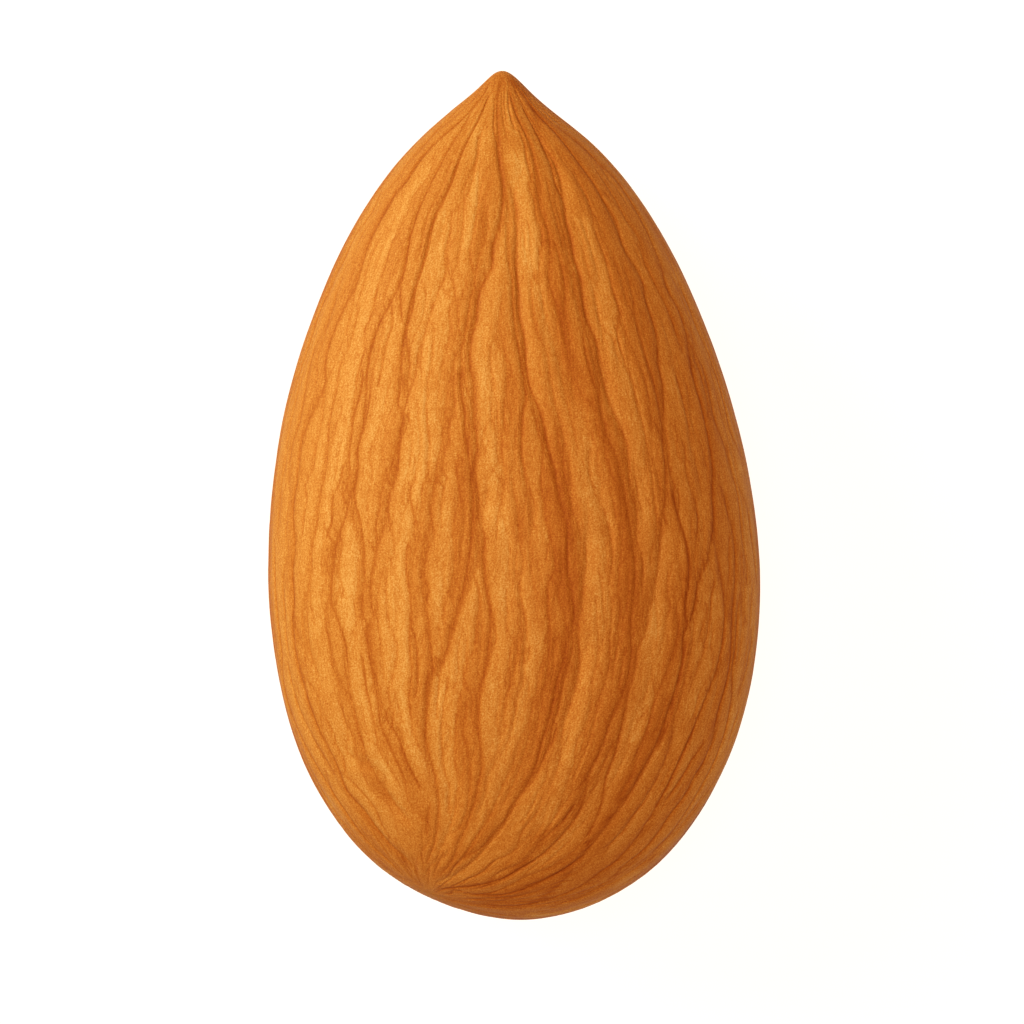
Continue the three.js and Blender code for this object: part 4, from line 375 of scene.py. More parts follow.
    ([(4.44, -3.16), (4.21, -4.35), (3.93, -5.05), (3.73, -5.77), (3.42, -6.46), (3.32, -6.86), (3.24, -7.26)], 0.56, 0.56, [(0.005, 0.02, 0.04, -0.01), (0.024, 0.06, 0.12, 0.19)]),
    ([(3.81, -0.1), (3.91, -0.34), (4.07, -0.58), (4.09, -0.9), (3.89, -1.97), (3.96, -2.27), (3.8, -2.71), (3.79, -2.93), (3.71, -3.35), (3.57, -3.68), (3.57, -4.12)], 0.56, 0.38, [(0.005, 0.13, 0.09, 0.01), (0.005, 0, -0.01, -0.01)]),
    ([(2.19, 9.59), (2.94, 8.47), (3.22, 7.93), (3.57, 7.43), (3.71, 6.84), (3.94, 6.28), (4.48, 5.19), (4.66, 4.63), (4.89, 4.1), (4.99, 4)], 0.38, 0.38, [(0.005, 0.07, -0.03, -0), (0.005, 0.11, 0.03, -0.08), (0.005, 0.12, 0.05, 0.03)]),
    ([(3.77, 5.85), (3.82, 5.51), (4.04, 4.76), (4.12, 3.94)], 0.12, 0.18, [(0.005, 0.02, -0.03, -0.01)]),
    ([(3.65, 5.27), (3.98, 4), (4.16, 3.81), (4.2, 3.42)], 0.56, 0.56, [(0.005, 0.03, 0.04, 0)]),
    ([(3.98, 1.79), (3.93, 1.51), (3.91, 1.21), (4.09, 0.67), (4.16, 0.11), (4.15, -0.31), (4.05, -0.4)], 0.38, 0.56, [(0.02, 0.07, -0.03, 0.01)]),
    ([(4.42, -0.61), (4.26, -1.06), (4.15, -1.61), (4.11, -2.17), (4.02, -2.73), (4.08, -3.32), (4.09, -3.91), (3.91, -4.35), (3.91, -4.79), (3.83, -5.09)], 0.38, 0.56, [(0.045, 0.13, 0.04, 0.08), (0.005, 0.02, 0.11, 0.04)]),
    ([(4.52, -1.05), (4.66, -1.29), (4.67, -1.56), (4.48, -2.05), (4.37, -2.57), (4.44, -3.05), (4.63, -3.37), (4.53, -4.54), (4.34, -5.11), (4.1, -5.67), (3.76, -6.83), (3.51, -7.39), (3.37, -8.14)], 0.56, 0.32, [(0.005, 0.03, 0.03, 0.06), (0.005, 0.14, -0.08, -0.09), (0.005, 0.16, 0.11, 0.08)]),
    ([(3.92, 2.38), (4.27, 1.39), (4.35, 0.22), (4.42, -0.13), (4.45, -0.52)], 0.08, 0.56, [(0.005, 0.08, -0.05, -0.05)]),
    ([(4.65, -2.58), (4.46, -3.11), (4.34, -3.93), (4.41, -4.17), (4.22, -4.79), (4.14, -5.35), (4.15, -5.53), (4.09, -5.65)], 0.56, 0.26, [(0.005, 0.09, 0.04, 0.05), (0.005, 0.01, 0.06, 0.04)]),
    ([(1.07, 10.73), (1.66, 10.29), (2.1, 9.91), (2.5, 9.5), (2.92, 9.11), (3.19, 8.72), (3.9, 7.43), (4.25, 6.48), (4.37, 5.99), (4.74, 5.3), (4.87, 4.93), (5, 4.29), (5.09, 3.65), (5.41, 2.51), (5.54, 1.93), (5.65, 1.29), (5.71, 0.65), (5.7, 0.04), (5.74, -0.56), (5.68, -1.16), (5.57, -1.76), (5.28, -2.44), (5.18, -3.02), (5.04, -3.58), (4.92, -3.78), (4.83, -4.73), (4.62, -5.61), (4.4, -6.29), (4.15, -6.96), (3.39, -8.46), (2.21, -10.02)], 0.26, 0.38, [(0.005, 0.04, -0.16, -0.14), (0.005, 0.18, -0.02, 0.02), (0.005, 0.23, -0.05, -0.02), (0.009, 0.29, -0.05, 0.13), (0.012, 0, 0.06, 0.05)]),
    ([(5.86, 0.41), (6.06, -0.05), (6.15, -0.54), (6.29, -1.02), (6.35, -1.58), (6.37, -2.17), (6.28, -3.35), (6.25, -4.3), (6.21, -4.77), (6.13, -5.24), (5.81, -6.45), (5.7, -7.07), (5.45, -7.66), (5.17, -8.12), (4.94, -8.61), (4.5, -9.18), (4.1, -9.77), (3.7, -10.23), (3.22, -10.59), (2.81, -10.98), (2.36, -11.32), (1.86, -11.59), (1.3, -11.75), (0.76, -11.98), (0.41, -12.04), (0.29, -12.02)], 0.38, 0.38, [(0.005, 0.15, -0.05, -0.02), (0.005, 0.2, -0.12, -0.01), (0.005, 0.22, -0.03, -0.02), (0.006, 0.12, 0.04, 0.05)]),
    ([(5.22, -1.15), (5.14, -1.92), (5.19, -2.4), (5.38, -2.88), (5.29, -3.31), (5.14, -3.72), (5.11, -4.2), (5.02, -4.67), (4.75, -5.88), (4.58, -6.47), (4.56, -7.18), (4.5, -7.74), (4.28, -8.14), (4.09, -8.56), (3.91, -9.28), (3.06, -10.34), (2.9, -10.34), (2.64, -10.4)], 0.38, 0.56, [(0.012, 0.06, -0.01, 0.01), (0.011, 0.06, -0.04, 0.01), (0.005, 0, 0.03, 0.02)]),
    ([(4.92, -3.8), (4.87, -4.49), (4.68, -5.47), (4.31, -6.58), (4, -7.21)], 0.32, 0.38, [(0.005, 0.22, 0.08, -0.16), (0.005, 0.1, 0.05, -0.1)]),
    ([(3.99, 5.57), (4.03, 5.42), (4.25, 5.05), (4.41, 4.51), (5.03, 1.94), (5.12, 1.04), (5.06, 0.82)], 0.56, 0.38, [(0.009, 0.02, -0.03, 0.02), (0.005, 0.05, 0.05, 0.04)]),
    ([(4, 5.11), (4.1, 5.04), (4.44, 3.79), (4.26, 3.42), (4.3, 1.96), (4.39, 1.47), (4.48, 0.55), (4.73, -0.02), (4.69, -0.54), (4.94, -1.41), (4.97, -1.71), (4.76, -1.88), (4.85, -2.28), (4.78, -2.47), (4.81, -2.68), (4.64, -3.36), (4.79, -3.59), (4.76, -4.19), (4.66, -4.59), (4.42, -4.95), (4.38, -5.4)], 0.38, 0.56, [(0.007, 0, 0.05, 0.05), (0.005, 0.16, 0.03, 0.02), (0.005, 0, 0, -0.01)]),
    ([(4.6, -1.68), (4.74, -1.91), (4.64, -2.55), (4.64, -2.73)], 0.56, 0.18, [(0.005, 0.1, 0.06, 0.02)]),
    ([(4.54, 6.82), (4.74, 6.36), (4.97, 5.91)], 0.56, 0.56, [(0.005, 0.03, 0.07, 0.04)]),
    ([(4.52, 0.5), (4.58, -0.1), (4.72, -0.68), (4.9, -1.25), (5, -1.83), (4.99, -2.45), (4.9, -3.08), (4.92, -3.69)], 0.18, 0.38, [(0.005, 0.23, -0.1, 0.05), (0.008, 0.11, -0.27, -0.03)]),
    ([(4.03, 5.65), (4.4, 5.38), (4.57, 4.89), (4.7, 4.4), (4.68, 3.95), (4.96, 3.16), (5.24, 1.71), (5.42, 1.35), (5.59, 0.28)], 0.38, 0.26, [(0.005, 0.03, -0.03, -0.05), (0.009, 0.05, -0.07, -0.01)]),
    ([(4.43, 5.48), (4.56, 4.98), (4.72, 4.48), (5.02, 4.22), (5.09, 3.65), (5.25, 3.11)], 0.32, 0.26, [(0.005, 0, -0.06, -0.07)]),
    ([(6.2, -6.16), (6.03, -6.46), (5.8, -6.7), (5.64, -7.24), (5.35, -7.92), (5.07, -8.3), (4.87, -8.74), (4.62, -9.03), (4.38, -9.34), (4.05, -9.85), (3.78, -10.16), (2.95, -10.97)], 0.56, 0.56, [(0.016, 0.01, -0.07, 0.01), (0.005, 0.15, 0.02, 0.05)]),
    ([(4.46, 2.18), (4.64, 1.83), (4.86, 1.5), (4.9, 0.94), (5, 0.4), (5.19, -0.12), (5.27, -0.63), (5.15, -1.5)], 0.56, 0.56, [(0.005, 0.08, -0.01, 0.01), (0.005, 0.24, 0.1, 0.13)]),
    ([(4.64, 1.72), (4.67, 1.19), (4.9, 0.81), (5.12, -0.17), (5.12, -0.48), (5.06, -0.69), (5.07, -1.12), (5.03, -1.28), (5.05, -1.56)], 0.56, 0.56, [(0.005, 0, 0.06, -0.06), (0.005, 0.1, -0, 0.01)]),
    ([(5.45, -7), (5.41, -7.14), (5.14, -7.53), (4.91, -7.95), (4.62, -8.4), (4.29, -8.83)], 0.38, 0.32, [(0.005, 0.21, 0.01, 0.02)]),
    ([(4.56, 5.61), (4.67, 5.45), (4.82, 5.09), (5.03, 4.81), (5.17, 3.95), (5.37, 3.43), (5.54, 2.75), (5.58, 2.54), (5.58, 2.19)], 0.38, 0.38, [(0.005, 0.11, 0.02, 0.02), (0.005, 0.09, -0.02, -0.02)]),
    ([(4.58, 3.69), (4.74, 3.14), (5.03, 1.87), (5.06, 1.44), (5.19, 1.22), (5.24, 0.75), (5.36, 0.28), (5.27, -0.33), (5.41, -0.74), (5.41, -1.3), (5.35, -1.92), (5.38, -2.14), (5.29, -2.38)], 0.56, 0.56, [(0.005, 0.19, 0.12, -0), (0.036, 0.06, -0.03, 0.02), (0.005, 0.03, -0.05, -0.09)]),
    ([(4.26, 6.54), (4.4, 6.48), (4.65, 6.08), (4.86, 5.85), (5.09, 5.37), (5.25, 4.86), (5.48, 4.37), (5.84, 3.4), (6.12, 2.37), (6.23, 1.85), (6.44, 1.32)], 0.56, 0.56, [(0.026, 0.08, 0.02, 0.05), (0.008, 0.18, 0.07, 0.08)]),
    ([(5.49, -2.9), (5.47, -3.03), (5.52, -3.19), (5.35, -4.09), (5.44, -4.35), (5.28, -4.85), (4.94, -5.14)], 0.56, 0.08, [(0.005, 0.17, 0.05, 0.03)]),
    ([(5.78, -2.36), (5.69, -2.66), (5.61, -3.43), (5.34, -4.75), (5.11, -5.31), (4.91, -5.88)], 0.56, 0.56, [(0.005, 0.24, 0.1, 0.16), (0.006, 0.08, -0, -0)]),
    ([(5.95, -3.08), (5.64, -3.33), (5.7, -3.91), (5.62, -4.25), (5.71, -4.61), (5.54, -5.27), (5.36, -5.52), (5.19, -6.15), (5.02, -6.59), (5.01, -6.72)], 0.56, 0.18, [(0.006, 0.06, -0.02, -0.03), (0.005, 0.11, 0.15, 0.12)]),
    ([(5.35, 2.59), (5.43, 2.43), (5.59, 1.66), (5.65, 1.16), (5.7, 0.67), (5.7, -0.07), (5.78, -1.26), (5.89, -2.21), (5.99, -2.7), (6.18, -4.42), (5.92, -5.03), (5.67, -6.06), (5.33, -6.56), (5.08, -7.21), (5.13, -7.47), (4.93, -7.5)], 0.18, 0.56, [(0.005, 0.02, -0.04, -0.06), (0.005, 0.1, -0.09, -0.08), (0.006, 0.02, 0.01, 0.01)]),
    ([(5.75, -1.12), (5.58, -1.75), (5.58, -2.64), (5.44, -2.73)], 0.56, 0.12, [(0.005, 0.06, 0.08, 0.06)]),
    ([(6.03, -3.65), (5.97, -4.29), (5.79, -5.01), (5.01, -7.03)], 0.12, 0.32, [(0.005, 0.07, -0.08, -0.05), (0.005, 0, -0.03, -0.08)]),
    ([(5.25, 3.94), (5.36, 3.78), (5.51, 3.37), (5.64, 2.82), (5.74, 2.27), (6.1, 1.33), (6.41, 0.12), (6.58, -1.38), (6.7, -2.12), (6.6, -3.46), (6.65, -3.58), (6.78, -3.77), (6.75, -4.59), (6.62, -5.14), (6.45, -5.67), (6.27, -5.92), (6.11, -6.64), (5.7, -7.78), (5.39, -8.35), (4.71, -9.46), (4.42, -9.87), (4.08, -10.23), (3.85, -10.65)], 0.56, 0.56, [(0.005, 0.15, -0.05, -0.01), (0.005, 0.16, 0.01, 0.07), (0.005, 0.1, 0, 0.01), (0.007, 0.19, 0.01, 0.11)]),
    ([(5.05, 5.4), (5.32, 4.68), (5.52, 4.29), (5.68, 3.79), (5.7, 3.53), (5.98, 2.28), (6.16, 1.67), (6.14, 1.19), (6.33, 0.48), (6.46, 0.29), (6.62, -0.12)], 0.32, 0.56, [(0.005, 0.06, -0, -0.03), (0.005, 0.09, -0.01, -0), (0.015, 0.13, 0.03, 0.07)]),
    ([(6.5, -2.12), (6.54, -2.49), (6.5, -2.88), (6.43, -3.27), (6.34, -4.53), (6.28, -4.92), (6.24, -6), (6.08, -6.75), (5.7, -7.78), (5.53, -8.12), (5.33, -8.46), (5.24, -8.72)], 0.56, 0.56, [(0.005, 0.1, 0.06, 0.07), (0.007, 0.26, 0, 0.08), (0.007, 0.09, -0.01, 0.02)]),
    ([(6.15, -1.05), (6.2, -1.39), (6.16, -1.73), (6.2, -2.25), (6.11, -2.67), (6.13, -3.02), (6.28, -3.2), (6.28, -3.72)], 0.56, 0.32, [(0.005, 0.11, 0.01, 0.02)]),
    ([(6.48, -6.06), (6.32, -6.6), (6.12, -7.12)], 0.32, 0.56, [(0.007, 0.13, 0.05, 0.09)]),
    ([(5.92, 0.3), (6.21, -0.67), (6.36, -1.38), (6.5, -1.7), (6.47, -2.3), (6.32, -2.56), (6.33, -2.78), (6.42, -2.98)], 0.18, 0.26, [(0.005, 0.06, -0.06, -0.05), (0.005, 0.04, 0.01, -0.01)]),
    ([(6.54, -2.45), (6.5, -2.88), (6.42, -3.31), (6.42, -3.53), (6.32, -3.62)], 0.56, 0.56, [(0.005, 0.08, -0.06, -0.07)]),
    ([(6.49, 1.29), (6.59, 0.76), (6.74, 0.24)], 0.56, 0.56, [(0.005, 0.1, 0.19, 0.13)]),
    ([(6.65, -0.16), (6.7, -0.36), (6.81, -1.09), (6.99, -2.55)], 0.56, 0.56, [(0.005, 0.18, 0.08, 0.05)]),
    ([(6.93, -2.34), (6.83, -2.89), (6.77, -4), (6.77, -4.26), (6.81, -4.41)], 0.32, 0.56, [(0.005, 0.12, 0.06, 0.06)]),
]  # fmt: skip

# ---------------------------------------------------------------- looks
SKIN = (0.474, 0.1685, 0.0192)  # albedo at tone 0
HUE = (1.28, 2.65, 4.4)  # how fast each channel falls as the tone does
TONE_LOW, TONE_HIGH = -0.5, 0.3
HUE_LOW, HUE_HIGH = (0.98, 1.08, 1.5), (0.94, 0.98, 1.15)  # each channel again, at either end
# darkening in the vein creases and just beside them: partly the veins' own colour, partly painted shade in the creases
CREASE_TONE, HALO_TONE = 0.85, 0.3
FIBRE_TONE, GRAIN_TONE, SPECK_TONE, PATCH_TONE = 0.27, 0.72, 0.03, 0.08
ROUGH, SPECULAR, SHEEN = 0.62, 0.05, 0.0
BUMP = 0.5
CREASE_CORE = 0.48  # of LINE_HALF
WANDER = 0.14
PAINTED_SHADE_AND_LIGHT = {(0, 0): 0.035, (1, 0): -0.15, (3, 0): 0.15, (1, 2): 0.11, (0, 2): -0.04, (2, 1): -0.05, (0, 1): 0.015}  # painted shade and light: tone, by powers of x / 7 mm and y / 12 mm, on the upper face
FLOOR_COLOUR = (0.15, 0.15, 0.15, 1)
GLOW_COLOUR, GLOW = (1.14, 1.02, 0.91, 1), 1.0
LAMPS = [
    # name, towards, distance, size, power, colour
    ("key", (-0.785, 0.453, 0.423), 0.30, 0.18, 0.86, (0.93, 0.98, 1.0)),
    ("overhead", (0.0, 0.0, 1.0), 0.30, 0.18, 0.77, (1.0, 0.67, 0.5)),
]
WORLD_COLOUR, WORLD = (1.0, 0.75, 0.85, 1), 0.12


COLUMNS, ROWS = 704, 140  # of the mesh, round the kernel and along it
THINNED = ((0.055, 2), (0.03, 4), (0.016, 8), (0.008, 16))  # fewer columns near a pole

rng = np.random.default_rng(20)


def smooth_steps(points, n):
    """n + 1 values from 0 to 1 spaced so that point (x, density) pairs are kept."""
    xs, ds = np.array(points).T
    u = np.linspace(0, 1, 4001)
    d = np.interp(u, xs, ds)
    c = np.concatenate([[0], np.cumsum((d[1:] + d[:-1]) / 2)])
    return np.interp(np.linspace(0, 1, n + 1), c / c[-1], u)


# columns lie closer on the upper face, which shows
T0 = -0.5 * np.pi
col = T0 + 2 * np.pi * smooth_steps(
    [(0, 0.5), (0.19, 0.5), (0.26, 1), (0.74, 1), (0.81, 0.5), (1, 0.5)], COLUMNS
)[:-1]
row = smooth_steps([(0, 1.25), (0.12, 1), (0.85, 1), (1, 1.25)], ROWS + 1)[1:-1]
nr, nc = len(row), len(col)
S, T = np.meshgrid(row, col, indexing="ij")
base = skin_point(flow_to_direction(S, T))


def along_rows(f):
    """d/dt of f round the kernel."""
    ahead, behind = np.roll(f, -1, 1), np.roll(f, 1, 1)
    step = (np.roll(col, -1) - np.roll(col, 1)) % (2 * np.pi)
    return (ahead - behind) / step[None, :, None]


across = along_rows(base)
down = np.gradient(base, row, axis=0)
normal = np.cross(across, down)
normal /= np.linalg.norm(normal, axis=-1, keepdims=True)
if (normal[nr // 2, :, 2] * np.sin(col)).sum() < 0:
    normal = -normal
girth = np.linalg.norm(across, axis=-1)  # mm for each radian of t
stride = np.linalg.norm(down, axis=-1)  # mm for each unit of s
upper = np.clip((base[..., 2] - RIM) / 0.6, 0, 1)  # 1 on the upper face


def course(xs, ys):
    """A smooth curve through points, and its slope."""
    h, d = np.diff(xs), np.diff(ys) / np.diff(xs)
    m = np.empty(len(xs))
    m[0], m[-1] = d[0], d[-1]
    if len(xs) > 2:
        m[1:-1] = (d[:-1] * h[1:] + d[1:] * h[:-1]) / (h[:-1] + h[1:])

    def at(x):
        i = np.clip(np.searchsorted(xs, x, side="right") - 1, 0, len(xs) - 2)
        u, hi = (x - xs[i]) / h[i], h[i]
        u2, u3 = u * u, u * u * u
        y = (
            (2 * u3 - 3 * u2 + 1) * ys[i] + (u3 - 2 * u2 + u) * hi * m[i]
            + (3 * u2 - 2 * u3) * ys[i + 1] + (u3 - u2) * hi * m[i + 1]
        )  # fmt: skip
        g = (
            (6 * u2 - 6 * u) * ys[i] / hi + (3 * u2 - 4 * u + 1) * m[i]
            + (6 * u - 6 * u2) * ys[i + 1] / hi + (3 * u2 - 2 * u) * m[i + 1]
        )  # fmt: skip
        return y, g

    return at


def bell(x):
    return np.clip(1 - x * x, 0, 1) ** 2


furrow = np.zeros((nr, nc))  # depth of the wide furrows, mm
crease = np.zeros((nr, nc))  # depth of the narrow creases, mm
stain_and_shade = np.zeros((nr, nc))  # how much darker (-) or lighter (+) the skin is painted: its stains, with painted shade on furrow flanks and on the side away from the key lamp
line = np.zeros((nr, nc))  # 1 on a vein, down to 0 a little way off it
aside = np.ones((nr, nc))  # -1 to 1, how far to one side of the nearest vein
crease_tint_and_shade = np.zeros((nr, nc))  # how dark the nearest vein's crease is painted: its own colour and painted shade in the crease
LINE_HALF = 0.13  # mm, where line reaches 0
CREASE_HALF = 0.09


def carve(s, t, left, right, profiles, where=None, taper=0.35, weight=1.0):
    """One vein, through flow points (s, t), added to the fields above."""
    keep = [0]
    for i in range(1, len(s)):
        if s[i] > s[keep[-1]] + 1e-4:
            keep.append(i)
    s, t = np.asarray(s)[keep], np.asarray(t)[keep]
    if len(s) < 2:
        return
    i0, i1 = np.searchsorted(row, s[0]), np.searchsorted(row, s[-1])
    if i1 - i0 < 3:
        return
    ii = np.arange(i0, i1)
    tv, g = course(s, t)(row[ii])
    j = np.searchsorted(col, (tv - T0) % (2 * np.pi) + T0) % nc
    r, l = girth[ii, j], stride[ii, j]
    lean = 1 / np.sqrt(1 + (r * g / l) ** 2)
    arc = np.concatenate([[0], np.cumsum(np.hypot(np.diff(row[ii]) * l[1:], np.diff(tv) * r[1:]))])
    size = np.clip(r / 3.5, 0.3, 1)
    p = np.array(profiles, float)
    u = arc / arc[-1] * (len(p) - 1)
    depth, dark, left_stain_and_shade, right_stain_and_shade = (np.interp(u, np.arange(len(p)), p[:, k]) for k in range(4))
    end = np.clip(np.minimum(arc, arc[-1] - arc) / taper, 0, 1)
    fade = (0.15 + 0.85 * end * end * (3 - 2 * end)) * weight
    reach = max(left, right, LINE_HALF)
    for n, i in enumerate(ii):
        half = reach * max(size[n], 0.6) / (r[n] * lean[n]) + 0.02
        a = (col - tv[n] + np.pi) % (2 * np.pi) - np.pi
        k = np.nonzero(np.abs(a) < half)[0]
        if not len(k):
            continue
        d = -a[k] * r[n] * lean[n]  # + to the right, seen from above on the upper face
        f = fade[n] * (1 if where is None else where[i, k])
        w = np.where(d < 0, left, right) * size[n]
        x = np.abs(d) / w
        furrow[i, k] += f * depth[n] * size[n] * np.clip(1 - x, 0, 1) ** 2
        # flank stains: partly the skin's own stain, partly painted shade on the flank turned from the key lamp
        stain_and_shade[i, k] += f * np.where(d < 0, left_stain_and_shade[n], right_stain_and_shade[n]) * bell(x)
        fine = max(size[n], 0.6)
        tent = np.clip(1 - np.abs(d) / (LINE_HALF * fine), 0, 1)
        new = tent * f > line[i, k] * 1.0
        line[i, k] = np.where(new, tent * (0.35 + 0.65 * f), line[i, k])
        aside[i, k] = np.where(new, np.clip(d / (LINE_HALF * fine), -1, 1), aside[i, k])
        crease_tint_and_shade[i, k] = np.where(new, dark[n], crease_tint_and_shade[i, k])
        groove = f * (0.006 + 0.14 * dark[n]) * bell(d / (CREASE_HALF * fine))
        crease[i, k] = np.maximum(crease[i, k], groove)


for points, left, right, profiles in VEINS:
    x, y = np.array(points).T
    s, t = plan_to_flow(x, y)
    carve(s, t, left, right, profiles)

# The lower face has veins of the same kind: the upper face's own, turned half round the
# kernel, shifted along it and wandering, so that they aren't a copy.
lower = 1 - upper
for n, (points, left, right, profiles) in enumerate(VEINS):
    x, y = np.array(points).T
    s, t = plan_to_flow(x, y)
    if not 0.08 < t.mean() < np.pi - 0.08:
        continue
    s = s + 0.035 * np.sin(np.pi * s) * np.sin(5 * s + 1.3)
    t = t + np.pi + 0.12 * np.sin(9 * s + 2 * t) + 0.05 * np.sin(23 * s + 5 * t)
    carve(s, t, right, left, [(d, k, b, a) for d, k, a, b in profiles], where=lower)

# Long veins run along the rim, between the two faces.
for side in (0.0, np.pi):
    for t0 in np.linspace(-0.5, 0.13, 11):
        for s0, s1 in ((0.06, 0.5), (0.42, 0.93)):
            s = np.linspace(s0 + rng.uniform(0, 0.1), s1 - rng.uniform(0, 0.12), 9)
            drift = np.cumsum(rng.normal(0, 0.016, 9)) + rng.normal(0, 0.02)
            t = t0 + drift if side == 0 else np.pi - t0 + drift
            k = rng.uniform(0.06, 0.2)
            deep = rng.uniform(0.012, 0.04)
            carve(
                s, t, rng.uniform(0.2, 0.5), rng.uniform(0.2, 0.5),
                [
                    (deep * rng.uniform(0.5, 1.2), k * rng.uniform(0.5, 1.2),
                     rng.uniform(-0.14, 0.02), rng.uniform(-0.14, 0.02))
                    for _ in range(3)
                ],
                where=np.clip(1.15 - upper, 0.0, 1.0),
            )  # fmt: skip

# Short veins fill in near the tip and the chalaza, and along the rim, where the long ones
# leave room.
for _ in range(230):
    near = rng.random()
    if near < 0.35:
        s0, span = rng.uniform(0.012, 0.06), rng.uniform(0.05, 0.16)
    elif near < 0.7:
        s0, span = rng.uniform(0.80, 0.9), rng.uniform(0.07, 0.13)
    else:
        s0, span = rng.uniform(0.15, 0.75), rng.uniform(0.08, 0.25)
    t0 = rng.uniform(0, 2 * np.pi)
    if near >= 0.7:  # the rim only
        t0 = rng.choice([0.0, np.pi]) + rng.uniform(-0.35, 0.25) * rng.choice([-1, 1])
    s = np.linspace(s0, min(s0 + span, 0.985), 6)
    t = t0 + np.cumsum(rng.normal(0, 0.012, 6))
    k = rng.uniform(0.02, 0.07)
    carve(
        s, t, rng.uniform(0.15, 0.4), rng.uniform(0.15, 0.4),
        [(rng.uniform(0.005, 0.02), k, rng.uniform(-0.06, 0.0), rng.uniform(-0.06, 0.0))],
        weight=0.8,
    )  # fmt: skip


# ---------------------------------------------------------------- fibres and unevenness
def ripple(around, along, seed):
    """Smooth noise, about -1 to 1, with that many waves round the kernel and along it."""
    g = np.random.default_rng(seed).uniform(-1, 1, (along + 3, around))
    u, v = (T - T0) / (2 * np.pi) * around, S * along
    i, j = np.floor(u).astype(int) % around, np.floor(v).astype(int)
    a, b = u - np.floor(u), v - j
    a, b = a * a * (3 - 2 * a), b * b * (3 - 2 * b)
    k = (i + 1) % around
    return (g[j, i] * (1 - a) + g[j, k] * a) * (1 - b) + (g[j + 1, i] * (1 - a) + g[j + 1, k] * a) * b


full = np.clip(girth / 5.5, 0, 1)
swell = 0.030 * ripple(30, 9, 1) * full + 0.016 * ripple(64, 20, 2) * full
fibre = 0.0075 * ripple(150, 60, 3) * full + 0.004 * ripple(320, 90, 4) * np.clip(full * 1.6 - 0.6, 0, 1)
fibre_near_poles = 0.004 * ripple(90, 60, 5) * (1 - full)
relief = swell + fibre + fibre_near_poles - furrow - crease
relief = np.where(relief > 0.03, 0.03 + 0.5 * np.tanh((relief - 0.03) / 0.5), relief)
rim = np.exp(-(((base[..., 2] - RIM) / 0.8) ** 2))  # gentler where the outline is
relief = relief * (1 - 0.45 * rim) + 0.012

verts = base + normal * relief[..., None]
# the part that the kernel rests on is worn level
verts[..., 2] = np.maximum(verts[..., 2], 0.0)

# Painted shade and light: the upper face is darker towards the right, the side away from the key lamp, and lighter in
# broad soft areas towards the left.
gx, gy = base[..., 0] / 7, base[..., 1] / 12
for (i, j), k in PAINTED_SHADE_AND_LIGHT.items():
    stain_and_shade += upper * k * gx**i * gy**j

# ---------------------------------------------------------------- the mesh
tip = skin_point(np.array([0.0, 1.0, 0.0]))
end_direction = flow_to_direction(np.array([1.0]), np.array([0.0]))[0]
end = skin_point(end_direction)


def step_at(i):
    s = min(row[i], 1 - row[i])
    n = 1
    for limit, every in THINNED:
        if s < limit:
            n = every
    return n


index = -np.ones((nr, nc), int)
extra = {
    "stain_and_shade": stain_and_shade, "line": line, "aside": aside, "crease_tint_and_shade": crease_tint_and_shade, "girth": full,
    "dip": furrow + crease,
}  # fmt: skip
order = []
count = 0
for i in range(nr):
    used = np.arange(0, nc, step_at(i))
    index[i, used] = count + np.arange(len(used))
    order.append(i * nc + used)
    count += len(used)
order = np.concatenate(order)
co = verts.reshape(-1, 3)[order]
co = np.vstack([co, verts[0, :: step_at(0)].mean(0), verts[-1, :: step_at(nr - 1)].mean(0)])
tip_v, end_v = count, count + 1

tris, quads = [], []
for i in range(nr - 1):
    a, b = step_at(i), step_at(i + 1)
    if a == b:
        j = np.arange(0, nc, a)
        k = (j + a) % nc
        quads.append(np.stack([index[i, j], index[i + 1, j], index[i + 1, k], index[i, k]], 1))
    else:
        many, few = (i, i + 1) if a < b else (i + 1, i)
        m, f = min(a, b), max(a, b)
        while f > 2 * m:
            raise ValueError("the columns thin by half at each step")
        j = np.arange(0, nc, f)
        mid, nxt = j + m, (j + f) % nc
        t3 = [
            (index[many, j], index[many, mid], index[few, j]),
            (index[many, mid], index[few, nxt], index[few, j]),
            (index[many, mid], index[many, nxt], index[few, nxt]),
        ]
        for t in t3:
            t = np.stack(t, 1)
            tris.append(t[:, ::-1] if many == i else t)
j = np.arange(0, nc, step_at(0))
k = (j + step_at(0)) % nc
tris.append(np.stack([np.full(len(j), tip_v), index[0, j], index[0, k]], 1))
j = np.arange(0, nc, step_at(nr - 1))
k = (j + step_at(nr - 1)) % nc
tris.append(np.stack([np.full(len(j), end_v), index[-1, k], index[-1, j]], 1))
tris, quads = np.vstack(tris), np.vstack(quads)

# faces must look outward
middle = co.mean(0)
c = co[quads]
n = np.cross(c[:, 1] - c[:, 0], c[:, 2] - c[:, 0])
if ((c.mean(1) - middle) * n).sum(1).mean() < 0:
    tris, quads = tris[:, ::-1], quads[:, ::-1]

mesh = bpy.data.meshes.new("almond_skin")
loops = np.concatenate([quads.ravel(), tris.ravel()])
starts = np.concatenate(
    [np.arange(len(quads)) * 4, len(quads) * 4 + np.arange(len(tris)) * 3]
)
mesh.vertices.add(len(co))
mesh.vertices.foreach_set("co", (co * MM).astype(np.float32).ravel())
mesh.loops.add(len(loops))
mesh.loops.foreach_set("vertex_index", loops.astype(np.int32))
mesh.polygons.add(len(starts))
mesh.polygons.foreach_set("loop_start", starts.astype(np.int32))
mesh.update(calc_edges=True)
mesh.validate()
mesh.polygons.foreach_set("use_smooth", np.ones(len(mesh.polygons), bool))


def add_field(name, grid):
    v = grid.reshape(-1)[order]
    v = np.concatenate([v, [grid[0].mean(), grid[-1].mean()]])
    a = mesh.attributes.new(name, "FLOAT", "POINT")
    a.data.foreach_set("value", v.astype(np.float32))


for name, grid in extra.items():
    add_field(name, grid)
